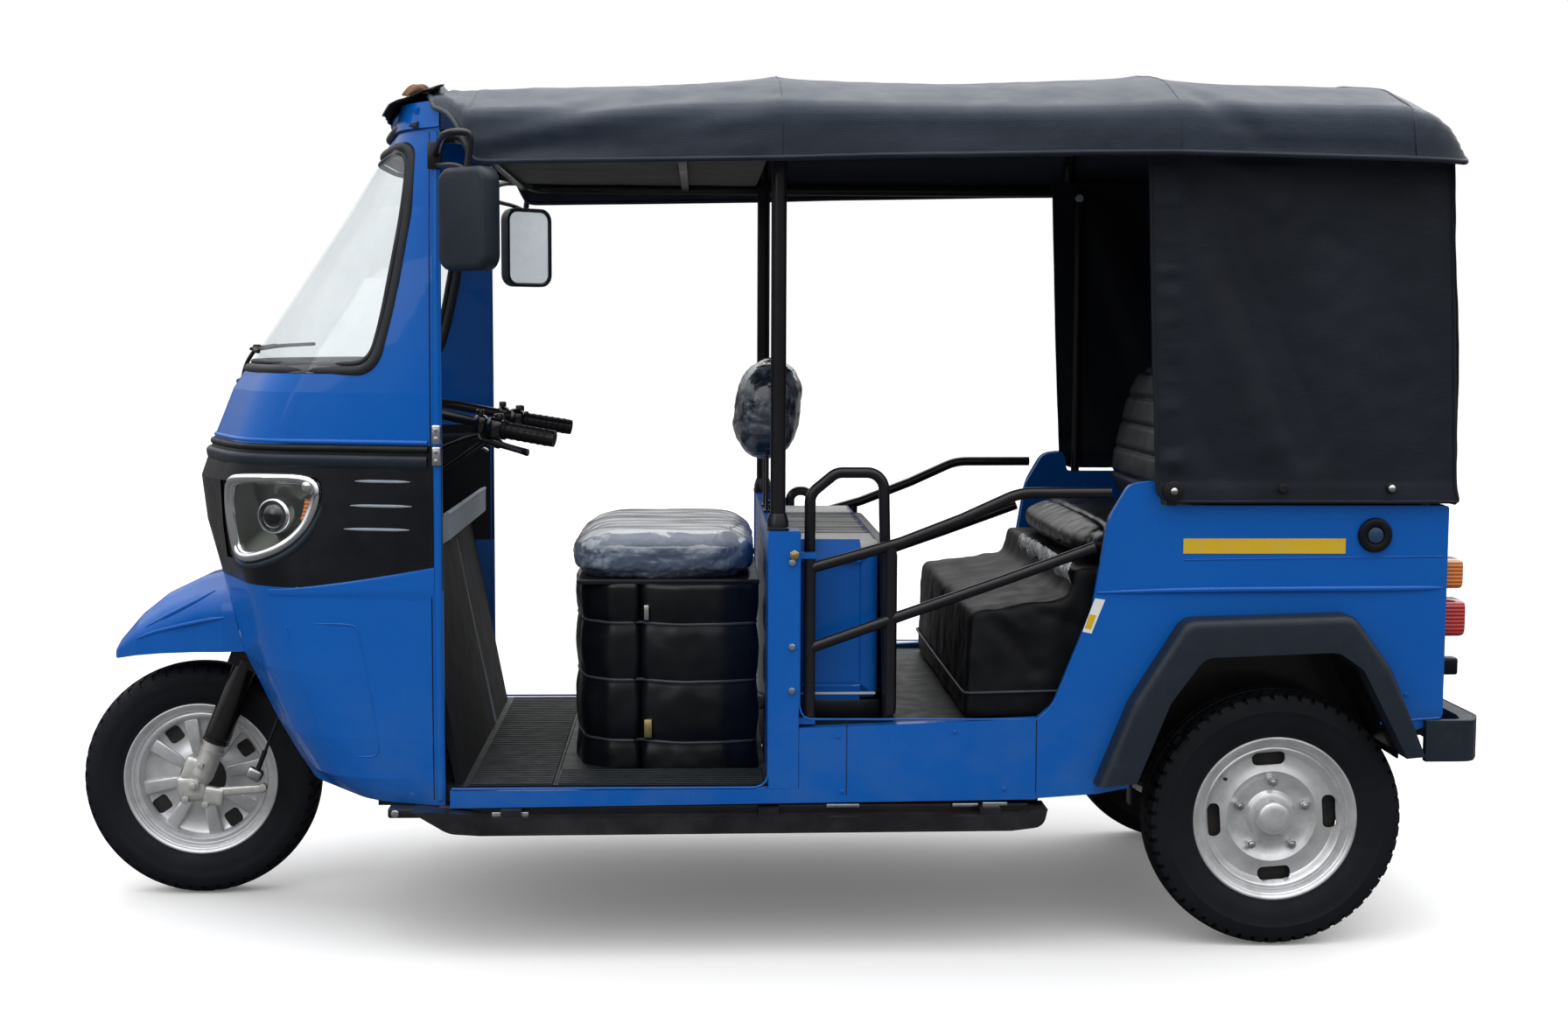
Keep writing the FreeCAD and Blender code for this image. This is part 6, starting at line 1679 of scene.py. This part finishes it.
for x, low, high in ((1377, 322, 470), (1752, 326, 470)):
    bead([at(x, -bodyY - 0.2, low), at(x, -bodyY - 0.2, high)], 0.8, rubberSeal, "sill_seam_%d" % x)
sillBolts = [rod(at(x, -bodyY + 1, z), at(x, -bodyY - 2.4, z), 0.0042, 12, 0.0012)
             for x, z in ((1360, 440), (1368, 330), (1590, 448), (1690, 334), (2490, 520))]
bothSides(joined(sillBolts), "sill_bolts", bluePaint)

# reflective stripe, plain cap and blank sticker
yellowFilm = mouldedFinish("yellowFilm", (0.62, 0.40, 0.022), (0.48, 0.40, 0.16), 0.30)
stripe = block(at(2037, -bodyY - 1.1, 801), at(2360, -bodyY + 0.6, 831), 0.0005, 1)
bothSides(stripe, "reflective_stripe", yellowFilm)
capRing = spun([(0.002, 0.0), (0.002, 0.033), (-0.004, 0.0345), (-0.009, 0.032), (-0.0105, 0.027),
                (-0.0085, 0.0185), (-0.0055, 0.0165), (-0.0055, 0.0)], at(2417, -bodyY, 838), sides=64)
bothSides(capRing, "filler_cap", fasciaPlastic)
capEye = spun([(-0.003, 0.0), (-0.003, 0.0155), (-0.0085, 0.0150), (-0.0105, 0.011), (-0.0115, 0.0)],
              at(2417, -bodyY, 838), sides=48)
slatePlastic = mouldedFinish("slatePlastic", (0.020, 0.045, 0.095), (0.05, 0.085, 0.14), 0.18)
bothSides(capEye, "filler_cap_eye", slatePlastic)


def sticker(corners, depth, name, finish):
    # a flat plate between four corners (x, z) on the near body side
    piece = meshPiece(name, [at(x, -bodyY - 0.3, z) for x, z in corners], [], [(0, 1, 2, 3)])
    openAll(piece)
    bpy.ops.mesh.extrude_region_move(TRANSFORM_OT_translate={"value": (0, -depth / 1000, 0)})
    leaveEdit()
    cleanMesh(piece)
    return place(piece, name, finish)


whiteFilm = mouldedFinish("whiteFilm", (0.72, 0.73, 0.72), (0.60, 0.61, 0.60), 0.35)
sticker([(1858, 643), (1840, 647), (1864, 713), (1884, 710)], 0.5, "blank_sticker", whiteFilm)
sticker([(1857, 651), (1844, 654), (1854, 682), (1867, 679)], 0.8, "sticker_patch", yellowFilm)

# a lip all round the wheel opening, darker than the flares: painted shade inside the opening
flareSizes = {"arch": [(-305, 300, 0), (-305, 346, 10), (-238, 513, 60), (-172, 602, 40), (92, 612, 40),
                       (142, 577, 40), (232, 404, 6), (232, 392, 0)], "inside": 4, "outerY": 519,
              "innerY": 487}
archLine = rounded(flareSizes["arch"], 80)
lipPoints, lipFaces, last = [], [], len(archLine) - 1
for i, p in enumerate(archLine):
    tangent = (archLine[min(i + 1, last)] - archLine[max(i - 1, 0)]).normalized()
    inwards = Vector((tangent.y, -tangent.x)) * flareSizes["inside"]
    outer, inner = -flareSizes["outerY"], -flareSizes["innerY"]
    for q, y in ((p, outer), (p + inwards, outer), (p + inwards, inner), (p, inner)):
        lipPoints.append(at(vehicle["wheelbase"] + q.x, y, q.y))
for i in range(last):
    for k in range(4):
        a, b = 4 * i + k, 4 * i + (k + 1) % 4
        lipFaces.append((a, b, b + 4, a + 4))
lipFaces += [(3, 2, 1, 0), tuple(4 * last + k for k in range(4))]
archLip = meshPiece("arch_lip", lipPoints, [], lipFaces)
cleanMesh(archLip)
bothSides(archLip, "arch_lip", fasciaPlastic)

# the flares' outer edges are rounded over
flares = twin(nodes["fender_flares"], "flare_shells")
cleanMesh(flares)
openAll(flares)
bpy.ops.mesh.dissolve_limited(angle_limit=math.radians(1))


def onFlareRim(p):
    here = Vector(((p.x - axleX) * 1000 - vehicle["wheelbase"], p.z * 1000))
    return abs(p.y) > 0.5655 and min((here - q).length for q in archLine) > 50


markEdges(flares, lambda a, b: onFlareRim(a) and onFlareRim(b))
bpy.ops.mesh.bevel(offset=0.018, segments=5, affect="EDGES")
leaveEdit()
place(flares, "flare_shells", flarePlastic, replaces=["fender_flares"])

# tail lamps on their base, a tow bracket below
tailLamps = [("amber_lamp", amberLens, (2566, 727), (2609, 787)), ("red_lamp", redLens, (2566, 631), (2616.5, 705))]
for name, finish, (x0, z0), (x1, z1) in tailLamps:
    lens = pillow(at(x0 - 6, -493, z0), at(x1, -417, z1), 7, 10)
    useModifier(lens, "SUBSURF", levels=1, render_levels=1)
    bothSides(lens, name, finish, replaces=["tail_lamps"])
bothSides(block(at(2563, -497, 622), at(2572, -413, 796), 0.004), "lamp_base", fasciaPlastic)
bothSides(block(at(2563, -478, 552), at(2608, -448, 587), 0.005, 3), "tail_bracket", fasciaPlastic)
bumperRun = [(2532, -531.5, 0), (2621, -531.5, 40), (2647.4, -475, 60), (2647.4, 475, 60), (2621, 531.5, 40),
             (2532, 531.5, 0)]
place(pathPiece([at(p.x, p.y, 468) for p in rounded(bumperRun, 90)], 0.0034, sides=2, resolution=2), "bumper_edge",
      flarePlastic, angle=60)

# gate hinge bolts, step bearers, and pale steel clips under the sills as painted highlights on the step's brackets
brassBits = [rod(at(1272, -bodyY + 2, 799), at(1272, -bodyY - 9, 799), 0.010, 6, 0.0015),
             rod(at(1272, -bodyY - 8, 799), at(1272, -bodyY - 13, 799), 0.0055, 16, 0.001)]
bothSides(joined(brassBits), "hinge_bolt", brass)
silverBits = [rod(at(1268, -bodyY + 2, z), at(1268, -bodyY - 6, z), 0.007, 6, 0.001) for z in (784, 618, 531)]
bothSides(joined(silverBits), "hinge_screws", steel)
# black bearers under the sills, and a wide black plate inside them as painted shade under the floor
bearersAndShade = [block(at(575, -498, 272), at(1742, -452, 301), 0.004),
           block(at(640, -452, 276), at(1700, -250, 298), 0.004),
           block(at(476, -501, 277), at(582, -455, 297), 0.004)]
bothSides(joined(bearersAndShade), "step_bearer_shade", blackPaint)
# pale steel clips and a knob under the sills: painted highlights on the step's brackets
clipHighlights = [block(at(x0, -507, z - 4), at(x1, -497, z + 4), 0.002) for x0, x1, z in
         ((680, 752, 286), (1338, 1404, 299), (1588, 1640, 299), (1648, 1698, 301))]
clipHighlights.append(rod(at(492, -512, 288), at(492, -500, 288), 0.008, 20, 0.002))
bothSides(joined(clipHighlights), "step_clip_highlights", steel)
postFeet = [block(at(1219, -bodyY + 6, 845.4), at(1262, -462, 851), 0.0015),
            spun([(0.0, 0.0155), (0.0, 0.0215), (0.012, 0.0205), (0.026, 0.0165), (0.026, 0.0155)],
                 at(1241, -476, 851), axis="Z", sides=40)]
bothSides(joined(postFeet), "post_foot", blackPaint)
place(rod(at(2013, 522, 1561), at(2013, 500, 1561), 0.010, 24, 0.003), "curtain_knob", greyPlastic)

# the shallow pressed panel in the shell below the headlamp
recess = [(272, 653), (345, 657), (409, 657), (420, 646), (440, 530), (458, 415), (452, 396), (430, 392),
          (362, 398), (330, 450), (300, 545), (276, 632)]
recessPath = [onSide(x, z, ["lower_cab_shell"], 0.2) for x, z in recess]
bead(recessPath, 1.5, bluePaint, "shell_pressing", closed=True)
print("body details made")

# handlebar and the driver's controls

def onBar(share, side, dz=0.0):
    # a point along the grip's line, from its inner end outwards
    start, end = at(676, 246 * side, 1030), at(790, 268 * side, 1011)
    return start.lerp(end, share) + Vector((0, 0, dz / 1000))


for side, sideName in ((-1, "left"), (1, "right")):
    grip = [pathPiece([onBar(s, side) for s in (0.12, 0.3, 0.6, 0.95)], 0.0172, order=2, sides=6),
            pathPiece([onBar(s, side) for s in (0.92, 0.965, 1.0, 1.012)], 0.0172, order=2, sides=6,
                      tapers=[1, 0.98, 0.86, 0.62]),
            pathPiece([onBar(0.06, side), onBar(0.12, side)], 0.0205, order=2, sides=6)]
    grip += [pathPiece([onBar(s, side), onBar(s + 0.035, side)], 0.0180, order=2, sides=6)
             for s in (0.22, 0.34, 0.46, 0.58, 0.70, 0.82)]
    place(joined(grip), "grip_" + sideName, gripRubber, body="steering", angle=40)
    cluster = [pillowCasting(onBar(-0.10, side, -2), (42, 46, 52), 12),
               pillowCasting(onBar(-0.36, side, 2), (30, 40, 44), 12),
               rod(onBar(-0.36, side, 12), onBar(-0.36, side, 34), 0.008, 20, 0.002),
               rod(onBar(-0.02, side, 10), onBar(-0.02, side, 32), 0.010, 20, 0.003),
               pillowCasting(onBar(-0.12, side, -28), (40, 22, 22), 24)]
    place(joined(cluster), "switches_" + sideName, blackGloss, body="steering", angle=40)
    lever = [at(652, 250 * side, 1010), at(676, 262 * side, 1000), at(708, 276 * side, 992),
             at(736, 286 * side, 984)]
    place(pathPiece(lever, 0.0062, order=3, sides=3, tapers=[1.2, 1.1, 1.0, 1.25]), "lever_" + sideName, blackGloss,
          body="steering", angle=60)
    lines = [pathPiece([onBar(-0.3, side, -16), at(600, 206 * side, 1010), at(520, 130 * side, 975),
                        at(452, 60 * side, 930), at(410, 34 * side, 880)], 0.0042),
             pathPiece([onBar(-0.2, side, -20), at(612, 222 * side, 985), at(540, 150 * side, 935),
                        at(470, 70 * side, 900), at(412, 26 * side, 850)], 0.0036)]
    place(joined(lines), "control_cables_" + sideName, gripRubber, body="steering", angle=60)
headset = [pillowCasting(at(430, 0, 1046), (96, 150, 44), 12), pillowCasting(at(392, 0, 980), (70, 96, 110), 22),
           rod(at(440, -52, 1060), at(446, -52, 1076), 0.024, 32, 0.003),
           rod(at(440, 30, 1060), at(446, 30, 1076), 0.036, 32, 0.004)]
place(joined(headset), "headset", blackGloss, body="steering", angle=40)
chromeBits = [rod(at(486, -58, 1012), at(530, -66, 1006), 0.006, 16, 0.001),
              rod(at(476, 44, 1010), at(498, 66, 992), 0.008, 16, 0.001)]
place(joined(chromeBits), "headset_bolts", chrome, body="steering", angle=40)

# the far door's grab handle, and what sits under the tray
handle = pathPiece([at(530, 448, 944), at(534, 438, 948), at(560, 436, 954), at(572, 440, 950), at(576, 448, 946)],
                   0.0046)
place(handle, "door_handle", steel, angle=60)
trayLip = pathPiece([at(579.5, -348, 862), at(579.5, 0, 862), at(579.5, 348, 862)], 0.0045)
place(trayLip, "tray_lip", greyPlastic, angle=60)

# inner panels of the cab's doors
innerPanel = skinPatch(lambda a: (Vector((476 + 92 * a, 356)), Vector((476 + 92 * a, 992))), (14, 40), -8.0, 0.0015,
                       cabNodes)
bothSides(innerPanel, "cab_inner_panel", bluePaint, angle=60)
print("controls made")


# the camera, the floor and the light

cameraPlace = {"x": -110, "height": 1225, "distance": 4396, "lens": 46.02,
               "turnDeg": 2.41, "downDeg": 4.92, "rollDeg": -0.25}


def placeCamera(sizes):
    yaw, pitch, roll = (math.radians(sizes[k]) for k in ("turnDeg", "downDeg", "rollDeg"))
    ahead = Vector((math.sin(yaw), math.cos(yaw), 0))
    right = Vector((math.cos(yaw), -math.sin(yaw), 0))
    up = Vector((0, 0, 1))
    look = ahead * math.cos(pitch) - up * math.sin(pitch)
    tip = up * math.cos(pitch) + ahead * math.sin(pitch)
    side = right * math.cos(roll) - tip * math.sin(roll)
    tip = tip * math.cos(roll) + right * math.sin(roll)
    clearSelection()
    bpy.ops.object.camera_add(location=(sizes["x"] / 1000, -sizes["distance"] / 1000, sizes["height"] / 1000))
    camera = bpy.context.object
    camera.name = "camera"
    camera.data.sensor_width = 36
    camera.data.lens = sizes["lens"]
    camera.rotation_euler = Matrix((side, tip, -look)).transposed().to_euler()
    scene.camera = camera


placeCamera(cameraPlace)

studio = {"floorSize": 60, "horizon": 0.16, "zenith": 1.9, "floorBounce": (0.30, 0.30, 0.30),
          "floorMirrored": (0.05, 0.05, 0.05), "floorGlow": 0.10, "horizonMirrored": 0.03, "zenithMirrored": 2.9}
clearSelection()
bpy.ops.mesh.primitive_plane_add(size=studio["floorSize"], location=(0, 0, -0.0005))
floor = bpy.context.object
floor.name = "studio_floor"
settle(floor)
floorFinish, floorTree, floorShader = newFinish("floorFinish", Roughness=0.75)
floorTone = blendColours(floorTree, cloudy(floorTree, placeOf(floorTree), 1.4, 4), (0.86, 0.86, 0.86),
                         (0.89, 0.89, 0.89))
# the floor is darker to the object than to the camera, as in a room where only the sweep is lit
seenStraight = addNode(floorTree, "LightPath")
floorTone = blendColours(floorTree, seenStraight.outputs["Is Camera Ray"], studio["floorBounce"], floorTone)
floorTone = blendColours(floorTree, seenStraight.outputs["Is Glossy Ray"], floorTone, studio["floorMirrored"])
floorTree.links.new(floorTone, floorShader.inputs["Base Color"])
floorShader.inputs["Emission Color"].default_value = (1, 1, 1, 1)
floorTree.links.new(ranged(floorTree, seenStraight.outputs["Is Camera Ray"], 0, 1, 0, studio["floorGlow"]),
                    floorShader.inputs["Emission Strength"])
floor.data.materials.append(floorFinish)

world = bpy.data.worlds.new("studio")
world.use_nodes = True
scene.world = world
worldTree = world.node_tree
sky = worldTree.nodes["Background"]
sky.inputs["Color"].default_value = (1.0, 1.0, 1.0, 1)
direction = addNode(worldTree, "TexCoord")
split = addNode(worldTree, "SeparateXYZ")
worldTree.links.new(direction.outputs["Generated"], split.inputs["Vector"])
dome = ranged(worldTree, split.outputs["Z"], 0.0, 0.9, studio["horizon"], studio["zenith"])
seen = addNode(worldTree, "LightPath")
mirrored = ranged(worldTree, split.outputs["Z"], 0.0, 0.9, studio["horizonMirrored"], studio["zenithMirrored"])
reflected = addNode(worldTree, "Mix", data_type="FLOAT")
worldTree.links.new(seen.outputs["Is Glossy Ray"], reflected.inputs["Factor"])
worldTree.links.new(dome, reflected.inputs[2])
worldTree.links.new(mirrored, reflected.inputs[3])
lit = addNode(worldTree, "Mix", data_type="FLOAT")
worldTree.links.new(seen.outputs["Is Camera Ray"], lit.inputs["Factor"])
worldTree.links.new(reflected.outputs[0], lit.inputs[2])
lit.inputs[3].default_value = 1.0
worldTree.links.new(lit.outputs[0], sky.inputs["Strength"])

# name, place, aimed at, width, depth, watts
lamps = [
    ("overhead", (0.3, -1.2, 5.2), (0, 0, 0.9), 6.0, 4.0, 70),
    ("front_left", (-4.2, -4.6, 3.4), (-0.6, 0, 0.8), 3.0, 3.0, 45),
    ("rear_right", (4.6, 3.8, 3.8), (0.6, 0, 0.8), 3.0, 3.0, 35),
]
for name, where, target, width, depth, power in lamps:
    clearSelection()
    bpy.ops.object.light_add(type="AREA", location=where)
    lamp = bpy.context.object
    lamp.name = name
    lamp.data.shape = "RECTANGLE"
    lamp.data.size, lamp.data.size_y = width, depth
    lamp.data.energy = power
    lamp.rotation_euler = (Vector(target) - Vector(where)).to_track_quat("-Z", "Y").to_euler()

scene.view_settings.view_transform = "Standard"
print("stage set")
